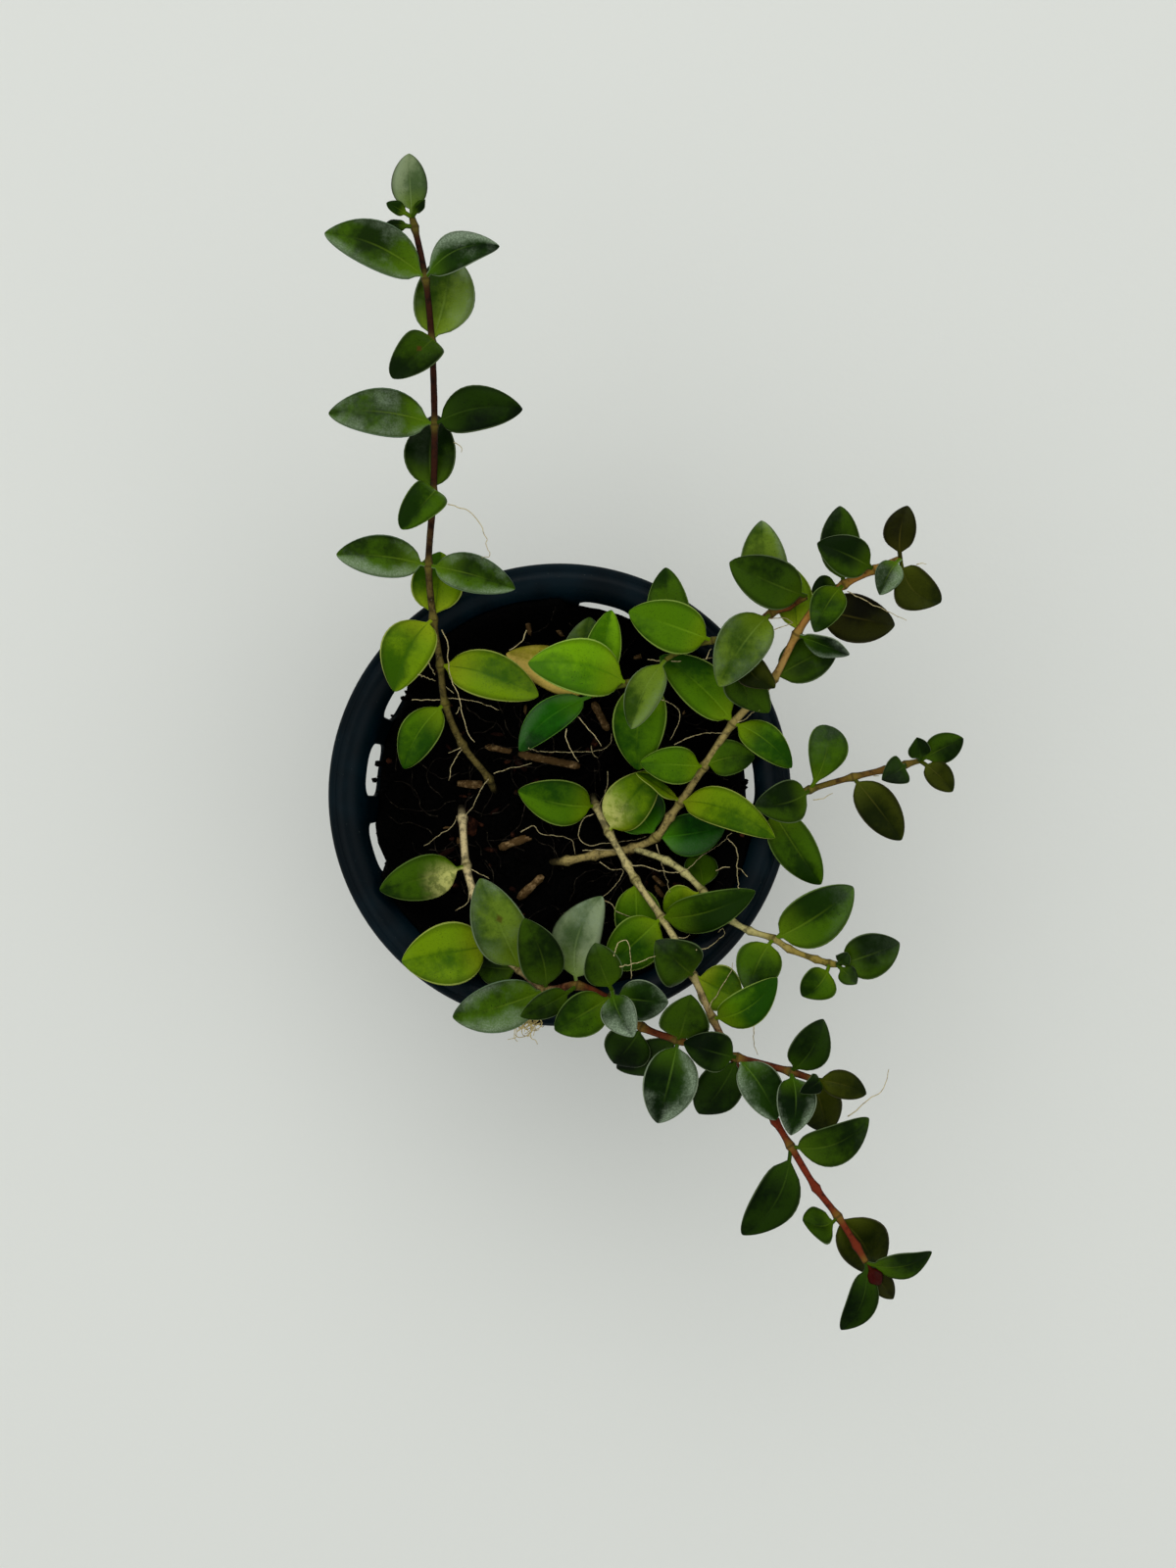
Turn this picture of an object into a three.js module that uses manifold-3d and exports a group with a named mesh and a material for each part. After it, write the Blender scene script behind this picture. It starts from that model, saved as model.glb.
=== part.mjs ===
// A small trailing plant with thick, glossy, paired leaves in a slotted nursery pot.
// Millimetres, Z up. The origin is the middle of the pot's underside, with X to the right
// and Y up the page when the plant is looked at from straight above.
import * as THREE from 'three';
import { mergeVertices } from 'three/addons/utils/BufferGeometryUtils.js';
import Module from 'manifold-3d';

const wasm = await Module();
wasm.setup();

// Driving sizes of the pot
const POT_HEIGHT = 92;
const RIM_RADIUS = 59.25;
const BASE_RADIUS = 42.5;
const MOUTH_RADIUS = 51;
const WALL = 1;
const FLOOR = 1.6;
const RIM_WALL = 1.3;
const RIM_DEPTH = 5;
const SKIRT_HEIGHT = 9;
const POT_SIDES = 45;
const SLOT_COUNT = 15;
const SLOT_WIDTH = 13.7;
const SLOT_HEIGHT = 17;
const SLOT_CORNER = 4;
const SLOT_TOP = 6.5;
const FIRST_SLOT = 4.5;
const DRAIN_COUNT = 4;
const DRAIN_RADIUS = 4;
const DRAIN_CIRCLE = 30;

// Driving sizes of the soil
const SOIL_DEPTH = 24;
const SOIL_SIDES = 30;
const SOIL_BUMP = 0.9;
const SOIL_RINGS = [0.9, 0.8, 0.4];
const BANK_FOOT = 0.84;
const BANK_END = 4;

// Driving sizes of the plant
const GAP = 0.35;
const LEAF_GAP = 0.45;
const SHOOT_GAP = 0.75;
const END_INSET = 0.6;
const STEM_SIDES = 6;
const STEM_STEP = 7.5;
const LEAF_THICKNESS = 1.1;
const PETIOLE_HALF_WIDTH = 0.55;
const FOOT_CLEARANCE = 0.35;

// Places on the plant are written as [x, y, height]: x and y where the place lines up with the
// level of the rim for an eye straight above, and the height over the rim. place() gives the
// true point.
const EYE_HEIGHT = 450;
const EYE_X = 7.25;
const EYE_Y = 2.75;

function place([x, y, height]) {
  const nearer = (EYE_HEIGHT - height) / EYE_HEIGHT;
  return new THREE.Vector3(
    EYE_X + (x - EYE_X) * nearer,
    EYE_Y + (y - EYE_Y) * nearer,
    POT_HEIGHT + height,
  );
}

// Colours by eye
const TONES = {
  deep: '#24451c',
  green: '#3d6a1f',
  bright: '#55862a',
  lime: '#8fae2c',
  yellow: '#c3b35a',
  grey: '#6f8c66',
  bronze: '#4a4423',
  red: '#5b1417',
};
const BARK = '#8a7448';
const YOUNG_STEM = '#7a5a3c';

// A stem's path runs from its foot to its tip through its nodes. A leaf row gives the node that
// the leaf grows from, where its tip is and how wide it is. arch lifts the middle of the leaf and
// bow moves it to the right, in millimetres. fold raises both halves and roll lowers the right
// half, in degrees. A large leaf that stands free of its stem is a piece of its own. The others
// are one with their stem.
const STEMS = [
  {
    name: 'north',
    radius: 1.0,
    colour: BARK,
    path: [
      [-15.8, -2.5, -30],
      [-18.0, 4.0, -19.5],
      [-24.8, 12.8, -13],
      [-29.2, 23.3, -7],
      [-30.4, 33.0, -1.5],
      [-32.2, 44.8, 5],
      [-33.4, 58.4, 9],
      [-32.2, 76.8, 12.5],
      [-31.9, 94.4, 15.5],
      [-32.6, 115.5, 18.5],
      [-34.2, 131.6, 20.5],
      [-37.0, 144.8, 22],
      [-37.6, 147.2, 22.3],
    ],
    leaves: [
      { node: 3, tip: [-39.8, 6.7, -8], width: 10.2, bow: 1.5, tone: 'bright', own: true },
      { node: 4, tip: [-5.3, 25.2, -2], width: 12.2, bow: -1.5, arch: 2.5, tone: 'lime', own: true },
      { node: 5, tip: [-42.2, 26.3, 8], width: 13.2, bow: 1.4, arch: 4.5, tone: 'lime', own: true },
      { node: 5, tip: [-30.5, 62, 3.5], width: 13.2, bow: 0.4, arch: 0, tone: 'lime' },
      { node: 6, tip: [-57, 61.3, 11], width: 10.6, bow: 0.7, tone: 'bright', own: true },
      { node: 6, tip: [-11.3, 52.5, 10], width: 9.7, bow: -0.4, arch: 2.5, tone: 'grey', own: true },
      { node: 7, tip: [-40.4, 67.8, 22], width: 9.4, arch: 7, tone: 'green', own: true },
      { node: 7, tip: [-31.6, 97, 9], width: 13, bow: -1.1, arch: 0, tone: 'green' },
      { node: 8, tip: [-59, 97.3, 18.5], width: 11.9, bow: 1.3, tone: 'green', own: true },
      { node: 8, tip: [-9.4, 98.4, 18.5], width: 11.4, bow: -1.6, tone: 'green', own: true },
      { node: 9, tip: [-42.7, 106.3, 27], width: 10, bow: 0.5, arch: 7, tone: 'deep', own: true },
      { node: 9, tip: [-28, 138, 13], width: 15, bow: 1, arch: 0, tone: 'grey' },
      { node: 10, tip: [-60, 143.3, 23], width: 11.9, bow: 1.8, arch: 2.5, tone: 'grey', own: true },
      { node: 10, tip: [-15.3, 140, 23.5], width: 9, bow: -2.4, arch: 2.5, tone: 'green', own: true },
      { node: 11, tip: [-44.7, 145.4, 23], width: 3, arch: 0.5, tone: 'green' },
      { node: 12, tip: [-44.2, 151, 24.5], width: 3.4, arch: 0.5, tone: 'green' },
      { node: 12, tip: [-34.3, 151.8, 26], width: 2.6, arch: 0.5, tone: 'green' },
      { node: 12, tip: [-38.4, 163.6, 25], width: 8.8, arch: 1, tone: 'grey' },
    ],
  },
  {
    name: 'south',
    radius: 1.15,
    colour: BARK,
    path: [
      [-25.2, -2.0, -30],
      [-24.8, -6.0, -20],
      [-23.8, -18.2, -12.5],
      [-21.8, -25.5, -8],
      [-17.5, -38.5, 0],
      [-10.0, -44.6, 3],
      [-3.6, -49.7, 5.5],
      [4.5, -48.6, 6.5],
      [13.0, -52.5, 7],
      [21.0, -59.2, 8.5],
      [30.2, -62.6, 11.5],
      [45.3, -67.0, 13.5],
      [58.8, -70.6, 14.5],
      [64.9, -72.6, 15.5],
    ],
    leaves: [
      { node: 2, tip: [-45.9, -24.3, 1.5], width: 11.6, petiole: 4, arch: 1.5, tone: 'green', own: true },
      { node: 4, tip: [-40.3, -42.5, 6], width: 16.1, bow: 0.3, tone: 'lime', own: true },
      { node: 5, tip: [-20.3, -21.3, 9], width: 13.8, arch: 2.5, tone: 'grey', own: true },
      { node: 5, tip: [-21.3, -43.8, -3], width: 9, arch: 0, tone: 'deep' },
      { node: 6, tip: [-9, -31.5, 13], width: 11.4, bow: 1.7, tone: 'deep', own: true },
      { node: 6, tip: [-27.3, -56.8, 6], width: 12.8, bow: -0.6, arch: 1.5, tone: 'grey', own: true },
      { node: 7, tip: [-10, -56.6, 13], width: 6.8, petiole: 4, bow: -0.4, tone: 'deep' },
      { node: 7, tip: [10.8, -25.8, 5], width: 12.5, bow: -3.2, arch: 0.5, tone: 'grey', own: true },
      { node: 9, tip: [13.8, -68.4, 1], width: 12.4, bow: -0.5, arch: 0, tone: 'deep' },
      { node: 10, tip: [14.6, -69.7, -3], width: 9.4, bow: -0.8, arch: 0, tone: 'bronze' },
      { node: 10, tip: [25, -83.8, 13], width: 13.6, arch: 2.5, tone: 'grey', own: true },
      { node: 10, tip: [33.5, -51, 19], width: 12.5, tone: 'deep', own: true },
      { node: 11, tip: [31.6, -63.2, 16], width: 10, bow: 0.3, arch: 4, tone: 'deep' },
      { node: 11, tip: [35.5, -81.3, 6], width: 11.5, bow: -0.8, arch: 1, tone: 'bronze' },
      { node: 11, tip: [55.3, -83, 15], width: 10.4, bow: -1.2, arch: 1, tone: 'grey', own: true },
      { node: 12, tip: [59, -86.9, 21], width: 9.8, bow: -1, arch: 2.5, tone: 'grey' },
      { node: 12, tip: [67.3, -57.2, 19], width: 9.8, bow: 1.1, tone: 'deep', own: true },
      { node: 13, tip: [78.3, -76.3, 17], width: 7.2, bow: -0.9, arch: 1.5, tone: 'bronze' },
      { node: 13, tip: [61.3, -76, 22], width: 5, arch: 3, tone: 'deep' },
      { node: 13, tip: [68.5, -86, 8], width: 11, arch: 0, tone: 'bronze' },
    ],
  },
  {
    name: 'south_shoot',
    from: { stem: 'south', node: 8 },
    radius: 0.85,
    colour: YOUNG_STEM,
    path: [
      [13.3, -51.3, 11.5],
      [13.4, -49.9, 15],
    ],
    leaves: [
      { node: 0, tip: [-1.3, -60, 13.5], width: 11, arch: 1.5, tone: 'green', own: true },
      { node: 0, tip: [27.8, -53, 14], width: 10.4, arch: 1.5, tone: 'grey' },
      { node: 1, tip: [9, -37.8, 19], width: 9.6, bow: -0.5, arch: 1.5, tone: 'deep' },
      { node: 1, tip: [18.8, -61.8, 20], width: 8.8, bow: 0.7, arch: 2.5, tone: 'grey' },
    ],
  },
  {
    name: 'southeast',
    radius: 1.05,
    colour: BARK,
    path: [
      [8.2, 1.5, -30],
      [9.3, -2.8, -20.5],
      [12.6, -9.6, -17],
      [17.3, -18.0, -13],
      [19.3, -21.6, -11.5],
      [26.0, -31.3, -5.5],
      [30.4, -38.6, -0.5],
      [34.0, -46.0, 4.5],
      [39.0, -57.0, 8],
      [46.8, -72.0, 10],
      [55.0, -83.3, 12.5],
      [58.9, -89.6, 14.5],
      [65.4, -100.3, 16.5],
      [71.0, -107.6, 18],
      [75.7, -115.0, 19.5],
      [78.2, -119.3, 20.5],
    ],
    leaves: [
      { node: 1, tip: [-10.6, 1.0, -13], width: 12.2, bow: -1.3, tone: 'bright', own: true },
      { node: 2, tip: [25.2, 6.2, -10.5], width: 12.6, bow: -1.1, arch: 2.5, tone: 'lime', own: true },
      { node: 4, tip: [20, -41, -12], width: 12.4, arch: 0.5, tone: 'bright' },
      { node: 5, tip: [12, -43.8, -4], width: 13.3, arch: 2.5, tone: 'bright', own: true },
      { node: 5, tip: [50, -24.6, 8], width: 10.2, bow: 1.5, arch: 2.5, tone: 'green', own: true },
      { node: 7, tip: [24.5, -37.2, 11], width: 13, arch: 4, tone: 'deep' },
      { node: 7, tip: [46.5, -52.5, 6], width: 12, arch: 0.5, tone: 'lime' },
      { node: 8, tip: [55.6, -46.7, 15], width: 9.6, bow: 2, arch: 2.5, tone: 'bright', own: true },
      { node: 11, tip: [79, -82.5, 17.5], width: 10.2, bow: 2.6, tone: 'deep', own: true },
      { node: 11, tip: [46.6, -112.3, 15], width: 11.2, petiole: 4, bow: -2.9, tone: 'green', own: true },
      { node: 13, tip: [62, -108.6, 19], width: 11, bow: -1.8, arch: 1.5, roll: 50, tone: 'deep' },
      { node: 13, tip: [81, -122, 12], width: 13, bow: -1.3, arch: 0, tone: 'green' },
      { node: 15, tip: [95, -116.6, 22], width: 7, bow: 1.5, roll: 15, tone: 'deep' },
      { node: 15, tip: [71.8, -136.5, 20], width: 7.8, bow: -1.8, tone: 'green' },
      { node: 15, tip: [81.8, -125, 22], width: 4.6, thick: 4, arch: 0, tone: 'red' },
      { node: 15, tip: [85.1, -128.6, 20.5], width: 5.6, arch: 0.5, tone: 'bronze' },
    ],
  },
  {
    name: 'northeast',
    radius: 1.15,
    colour: BARK,
    path: [
      [-5.5, -17.5, -29],
      [2.0, -16.8, -21.5],
      [9.0, -15.4, -20.2],
      [18.6, -13.6, -18.5],
      [24.6, -10.8, -15.5],
      [28.2, -5.6, -12.5],
      [30.9, -1.9, -10],
      [36.8, 7.2, -5.5],
      [44.3, 18.3, 2],
      [49.0, 23.4, 5.5],
      [54.6, 29.6, 9],
      [60.5, 41.0, 12.5],
      [65.2, 47.6, 15],
      [72.5, 53.6, 17.5],
      [80.3, 57.4, 19.5],
      [87.0, 60.2, 21.5],
    ],
    leaves: [
      { node: 4, tip: [42.4, -8, -15], width: 11.6, bow: 0.5, arch: 0.5, tone: 'deep' },
      { node: 4, tip: [16.8, 2.5, -19.5], width: 14, bow: -0.5, arch: 0, tone: 'deep' },
      { node: 6, tip: [55, -11, 6], width: 10, bow: -2.4, arch: 3, tone: 'lime', own: true },
      { node: 6, tip: [19.5, 5.5, -6], width: 5, arch: 1, roll: 50, tone: 'lime' },
      { node: 7, tip: [20.5, 8.2, -1], width: 9.8, arch: 2.5, tone: 'bright', own: true },
      { node: 7, tip: [49.8, 9.8, 0], width: 9.4, bow: -1, arch: 1, tone: 'green' },
      { node: 8, tip: [59.3, 6.9, 6], width: 8.6, bow: -1.3, arch: 2.5, tone: 'bright', own: true },
      { node: 8, tip: [25.6, 35.4, 4], width: 12, bow: 1.1, arch: 1.5, tone: 'bright', own: true },
      {
        node: 10, tip: [71, 38, 8], width: 11.5, bow: -0.4, arch: 0.5, fold: 0, roll: -12,
        tone: 'green', own: true,
      },
      { node: 11, tip: [74, 35.8, 14], width: 9, roll: 62, tone: 'grey' },
      { node: 11, tip: [57, 59.5, 6], width: 9.5, bow: 0.8, arch: 0, tone: 'lime' },
      { node: 12, tip: [85.5, 43.2, 12], width: 12.2, bow: 0.3, arch: 0.5, tone: 'bronze', own: true },
      { node: 13, tip: [65, 41.5, 19.5], width: 8.6, bow: 1.1, arch: 3, tone: 'green' },
      { node: 13, tip: [64.3, 51.8, 15], width: 7, arch: 0, tone: 'deep' },
      { node: 13, tip: [71.5, 73.7, 18], width: 10.2, bow: -0.5, arch: 0, tone: 'deep' },
      { node: 14, tip: [65.7, 64.2, 22.5], width: 10.2, arch: 2.5, tone: 'deep', own: true },
      { node: 15, tip: [81.6, 51, 23], width: 6.8, bow: 0.9, arch: 2.5, tone: 'deep' },
      { node: 15, tip: [97.2, 49, 19], width: 10.6, bow: 3.2, arch: 1, tone: 'bronze' },
      { node: 15, tip: [88.7, 73.8, 24], width: 8, bow: -1.3, tone: 'bronze' },
    ],
  },
  {
    name: 'lower_east',
    from: { stem: 'northeast', node: 3 },
    radius: 0.95,
    colour: BARK,
    path: [
      [27.3, -16.8, -12.5],
      [32.0, -20.0, -9.5],
      [36.6, -24.6, -6],
      [43.5, -31.8, 2],
      [48.5, -34.7, 3.5],
      [54.6, -36.7, 6],
      [58.5, -39.3, 7],
      [65.5, -42.0, 8.5],
      [68.8, -43.0, 9.2],
      [70.8, -43.3, 9.8],
    ],
    leaves: [
      { node: 2, tip: [34.5, -14.5, -17], width: 9, bow: 0.5, arch: 0, tone: 'deep' },
      { node: 2, tip: [26.6, -29.6, -9.5], width: 9.6, arch: 0.5, tone: 'lime' },
      { node: 5, tip: [48, -50.5, 9], width: 11.8, bow: 1.2, arch: 2, tone: 'green', own: true },
      { node: 5, tip: [75, -23.5, 9], width: 13.6, bow: 0.8, tone: 'green', own: true },
      { node: 8, tip: [61.8, -51.4, 10], width: 9, bow: -0.9, arch: 3, tone: 'green' },
      { node: 9, tip: [86.8, -37.8, 13], width: 11.4, tone: 'deep' },
      { node: 9, tip: [73.5, -40.3, 14], width: 4, arch: 0.5, tone: 'deep' },
      { node: 9, tip: [75.8, -48.3, 13], width: 5, arch: 1, tone: 'deep' },
    ],
  },
  {
    name: 'east',
    from: { stem: 'northeast', node: 6 },
    radius: 0.95,
    colour: YOUNG_STEM,
    path: [
      [40.0, -4.2, -7],
      [47.0, -4.0, -2.5],
      [53.5, -2.8, 3],
      [63.8, 1.3, 6.5],
      [74.8, 4.5, 9],
      [83.0, 6.4, 10.5],
      [88.2, 7.7, 11.5],
      [91.8, 8.7, 12],
    ],
    leaves: [
      { node: 2, tip: [66.7, -22.9, 2], width: 11, bow: 0.4, arch: 1, fold: 4, tone: 'green', own: true },
      { node: 3, tip: [68.8, 17.7, 9], width: 10.2, bow: 0.9, arch: 3, tone: 'green', own: true },
      { node: 3, tip: [49.8, -3, 11], width: 10.9, bow: -1.3, arch: 3, tone: 'bright' },
      { node: 4, tip: [87.2, -11.6, 9], width: 10, tone: 'bronze', own: true },
      { node: 6, tip: [82.2, 3.8, 14], width: 7.5, arch: 3, fold: 20, tone: 'deep' },
      { node: 7, tip: [103, 14.4, 14], width: 7.6, bow: -0.3, arch: 1.5, tone: 'deep' },
      { node: 7, tip: [91.2, 14.6, 17], width: 5.6, arch: 1, tone: 'deep' },
      { node: 7, tip: [100.3, 0.8, 13.5], width: 6.6, bow: -0.3, arch: 1.5, tone: 'bronze' },
    ],
  },
  {
    name: 'soil_shoot',
    from: { stem: 'northeast', node: 8 },
    radius: 0.9,
    colour: YOUNG_STEM,
    path: [
      [38.0, 25.0, -1.5],
      [28.0, 30.5, -2.5],
      [23.0, 30.4, -2],
      [17.0, 28.4, -1],
      [8.0, 25.2, -1.5],
    ],
    leaves: [
      { node: 2, tip: [20, 6.3, -4], width: 13.8, bow: 1.5, arch: 1.5, tone: 'bright', own: true },
      { node: 3, tip: [-8.1, 33.6, 6], width: 14.3, bow: 2.1, arch: 3.5, tone: 'bright', own: true },
      { node: 4, tip: [13.2, 47.2, -1], width: 9.6, arch: 0.5, tone: 'green' },
      { node: 4, tip: [7.6, 45.3, -5], width: 12, bow: -1.5, arch: 0, tone: 'grey' },
      { node: 4, tip: [-13.6, 36, -6], width: 11, bow: 2, arch: 0, tone: 'yellow' },
      { node: 4, tip: [-10.3, 11.2, -8], width: 9, bow: 2, arch: 2.5, tone: 'bright', own: true },
    ],
  },
  {
    name: 'top_shoot',
    from: { stem: 'northeast', node: 10 },
    radius: 1.0,
    colour: YOUNG_STEM,
    path: [
      [50.5, 31.8, 9.8],
      [48.5, 37.0, 10.5],
      [50.5, 43.5, 11.5],
      [54.0, 46.3, 12.5],
      [58.3, 48.0, 13.5],
      [63.0, 50.6, 14.5],
    ],
    leaves: [
      { node: 1, tip: [54.9, 27.2, 14], width: 8, bow: 3, arch: 1.5, tone: 'bronze' },
      { node: 1, tip: [53.2, 20.8, 10.5], width: 11, bow: 4, arch: 0.5, tone: 'deep' },
      { node: 3, tip: [40.6, 27.6, 16], width: 12.8, bow: 1.3, arch: 3, tone: 'grey', own: true },
      { node: 3, tip: [51.5, 70, 13], width: 12, bow: -0.8, arch: 0, tone: 'grey', own: true },
      { node: 5, tip: [43.3, 59.3, 18.5], width: 12.7, bow: -0.9, arch: 2.5, tone: 'green', own: true },
    ],
  },
  {
    name: 'rim_shoot',
    from: { stem: 'top_shoot', node: 1 },
    radius: 0.85,
    colour: YOUNG_STEM,
    path: [
      [43.5, 39.8, 10.8],
      [38.9, 39.3, 11],
      [31.0, 36.8, 9.5],
      [27.0, 34.4, 9],
    ],
    leaves: [
      { node: 1, tip: [17.6, 46.7, 14], width: 12.9, tone: 'bright', own: true },
      { node: 2, tip: [27, 58, 8.5], width: 10.8, bow: -1.3, arch: 0, tone: 'green' },
      { node: 3, tip: [18.2, 16.8, 8], width: 9.2, bow: 1.4, arch: 1.5, tone: 'green' },
    ],
  },
];

// The peat lies higher against the wall in some banks: the directions, in degrees, of both ends
// of each and how much higher it is. The low one is under the tip of a leaf.
const BANKS = [
  [20, 60, 18],
  [91, 137, 18],
  [216, 280, 18],
  [282, 306, 11],
  [308, 352, 18],
];

// Bark sticks on the soil: both ends, and the thickness
const STICKS = [
  { ends: [[-20, 12.6], [-11, 10.8]], thick: 1.9 },
  { ends: [[-10.5, 10.4], [5.2, 7.2]], thick: 2.1 },
  { ends: [[-26, 2.9], [-18.6, 2.4]], thick: 2.4 },
  { ends: [[-15.4, -13.6], [-6.4, -10.2]], thick: 2.2 },
  { ends: [[-10.6, -26.6], [-4.2, -20.6]], thick: 2.3 },
  { ends: [[8.6, 23.6], [12.4, 16.4]], thick: 2.1 },
];
const KNOB = { at: [-23.4, -8], radius: 3.6 };

// Solids from geometries, and back
function solid(geometry) {
  const bare = new THREE.BufferGeometry();
  bare.setAttribute('position', geometry.getAttribute('position'));
  bare.setIndex(geometry.index);
  const merged = mergeVertices(bare, 1e-4);
  return new wasm.Manifold(new wasm.Mesh({
    numProp: 3,
    vertProperties: merged.getAttribute('position').array,
    triVerts: new Uint32Array(merged.index.array),
  }));
}

function geometryOf(body) {
  const { vertProperties, triVerts } = body.getMesh();
  const geometry = new THREE.BufferGeometry();
  geometry.setAttribute('position', new THREE.BufferAttribute(vertProperties, 3));
  geometry.setIndex(new THREE.BufferAttribute(triVerts, 1));
  geometry.computeVertexNormals();
  return geometry;
}

const model = new THREE.Group();

function addPiece(name, body, color, roughness, metalness = 0) {
  const mesh = new THREE.Mesh(
    geometryOf(body),
    new THREE.MeshStandardMaterial({ color, roughness, metalness, flatShading: true }),
  );
  mesh.name = name;
  model.add(mesh);
}

function turned(profile, sides) {
  const points = profile.map(([radius, z]) => new THREE.Vector2(radius, z));
  return solid(new THREE.LatheGeometry(points, sides).rotateX(Math.PI / 2));
}

// Inside radius of the tapering wall at a height
function wallRadius(z) {
  const inner = BASE_RADIUS - WALL;
  return inner + (MOUTH_RADIUS - inner) * (z / POT_HEIGHT);
}

function potShell() {
  const top = POT_HEIGHT;
  const ledge = top - RIM_DEPTH;
  const skirt = RIM_RADIUS - RIM_WALL;
  return turned([
    [0, 0],
    [BASE_RADIUS - WALL, 0],
    [BASE_RADIUS, WALL],
    [wallRadius(ledge) + WALL, ledge],
    [skirt, ledge],
    [skirt, top - SKIRT_HEIGHT],
    [RIM_RADIUS, top - SKIRT_HEIGHT],
    [RIM_RADIUS, top - RIM_WALL],
    [RIM_RADIUS - 0.7, top - 0.7],
    [RIM_RADIUS - 1.5, top - 0.9],
    [RIM_RADIUS - 4, top],
    [RIM_RADIUS - 6.6, top - 0.8],
    [wallRadius(top - 3), top - 3],
    [wallRadius(FLOOR), FLOOR],
    [0, FLOOR],
  ], POT_SIDES);
}

function roundedBox(width, height, corner) {
  const w = width / 2 - corner;
  const h = height / 2 - corner;
  const shape = new THREE.Shape();
  shape.absarc(w, h, corner, 0, Math.PI / 2, false);
  shape.absarc(-w, h, corner, Math.PI / 2, Math.PI, false);
  shape.absarc(-w, -h, corner, Math.PI, Math.PI * 1.5, false);
  shape.absarc(w, -h, corner, Math.PI * 1.5, Math.PI * 2, false);
  return shape;
}

function slotCutter(degrees) {
  const depth = 12;
  const inside = BASE_RADIUS + 1.5;
  const geometry = new THREE.ExtrudeGeometry(
    roundedBox(SLOT_WIDTH, SLOT_HEIGHT, SLOT_CORNER),
    { depth, bevelEnabled: false, curveSegments: 1 },
  );
  geometry.rotateX(-Math.PI / 2);
  geometry.translate(0, inside, POT_HEIGHT - SLOT_TOP - SLOT_HEIGHT / 2);
  geometry.rotateZ(THREE.MathUtils.degToRad(degrees - 90));
  return solid(geometry);
}

function drainCutter(index) {
  const angle = (index / DRAIN_COUNT) * Math.PI * 2;
  const geometry = new THREE.CylinderGeometry(DRAIN_RADIUS, DRAIN_RADIUS, 3 * FLOOR, 6);
  geometry.rotateX(Math.PI / 2);
  geometry.translate(DRAIN_CIRCLE * Math.cos(angle), DRAIN_CIRCLE * Math.sin(angle), 0);
  return solid(geometry);
}

function pot() {
  let body = potShell();
  for (let i = 0; i < SLOT_COUNT; i += 1) {
    body = body.subtract(slotCutter(FIRST_SLOT + i * 360 / SLOT_COUNT));
  }
  for (let i = 0; i < DRAIN_COUNT; i += 1) {
    body = body.subtract(drainCutter(i));
  }
  return body;
}

// The height of the soil's lumpy surface over a point, with its banks
const SOIL_TOP = POT_HEIGHT - SOIL_DEPTH;
const SOIL_RADIUS = wallRadius(SOIL_TOP) - GAP;

function bankHeight(x, y) {
  const direction = (THREE.MathUtils.radToDeg(Math.atan2(y, x)) + 360) % 360;
  const share = Math.hypot(x, y) / SOIL_RADIUS;
  const rise = THREE.MathUtils.smoothstep(share, BANK_FOOT, 1);
  const heights = BANKS.map(([from, to, height]) => {
    const end = Math.min(direction - from, to - direction);
    return height * THREE.MathUtils.smoothstep(end, -BANK_END, BANK_END);
  });
  return rise * Math.max(...heights);
}

function soilSurface(x, y) {
  const swell = Math.sin(0.31 * x + 0.8) * Math.cos(0.27 * y);
  const ripple = 0.6 * Math.sin(0.5 * (x - y));
  return SOIL_TOP + SOIL_BUMP * (swell + ripple) + bankHeight(x, y);
}

function stick({ ends: [[x0, y0], [x1, y1]], thick }) {
  const from = place([x0, y0, -SOIL_DEPTH]);
  const to = place([x1, y1, -SOIL_DEPTH]);
  const thin = 0.84 * thick;
  const geometry = new THREE.CylinderGeometry(thick / 2, thin / 2, from.distanceTo(to), 5);
  geometry.rotateZ(Math.PI / 2);
  geometry.rotateZ(Math.atan2(to.y - from.y, to.x - from.x));
  const middle = from.add(to).multiplyScalar(0.5);
  geometry.translate(middle.x, middle.y, soilSurface(middle.x, middle.y) + 0.3);
  return solid(geometry);
}

function soil() {
  const bottom = FLOOR + GAP;
  const rings = [[0, bottom], [wallRadius(bottom) - GAP, bottom], [SOIL_RADIUS, SOIL_TOP]];
  SOIL_RINGS.forEach((share) => rings.push([SOIL_RADIUS * share, SOIL_TOP]));
  rings.push([0, SOIL_TOP]);
  const points = rings.map(([radius, z]) => new THREE.Vector2(radius, z));
  const geometry = new THREE.LatheGeometry(points, SOIL_SIDES).rotateX(Math.PI / 2);
  const position = geometry.getAttribute('position');
  for (let i = 0; i < position.count; i += 1) {
    const x = position.getX(i);
    const y = position.getY(i);
    if (position.getZ(i) < SOIL_TOP - 1) continue;
    const level = soilSurface(x, y);
    const lean = (wallRadius(level) - GAP) / SOIL_RADIUS;
    position.setXYZ(i, x * lean, y * lean, level);
  }
  let body = solid(geometry);
  STICKS.forEach((row) => { body = body.add(stick(row)); });
  const [x, y] = KNOB.at;
  const knob = new THREE.SphereGeometry(KNOB.radius, 6, 4);
  knob.scale(1, 0.85, 0.6).translate(x, y, soilSurface(x, y));
  return body.add(solid(knob));
}

// A stem is a six-sided tube along a smooth curve through its nodes
function polygon(radius) {
  const corners = [];
  for (let i = 0; i < STEM_SIDES; i += 1) {
    const angle = (i / STEM_SIDES) * Math.PI * 2;
    corners.push(new THREE.Vector2(radius * Math.cos(angle), radius * Math.sin(angle)));
  }
  return new THREE.Shape(corners);
}

function curveThrough(points) {
  const curve = new THREE.CatmullRomCurve3(points, false, 'centripetal');
  const steps = Math.max(1, Math.round(curve.getLength() / STEM_STEP));
  return { curve, steps, chords: curve.getSpacedPoints(steps) };
}

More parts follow.
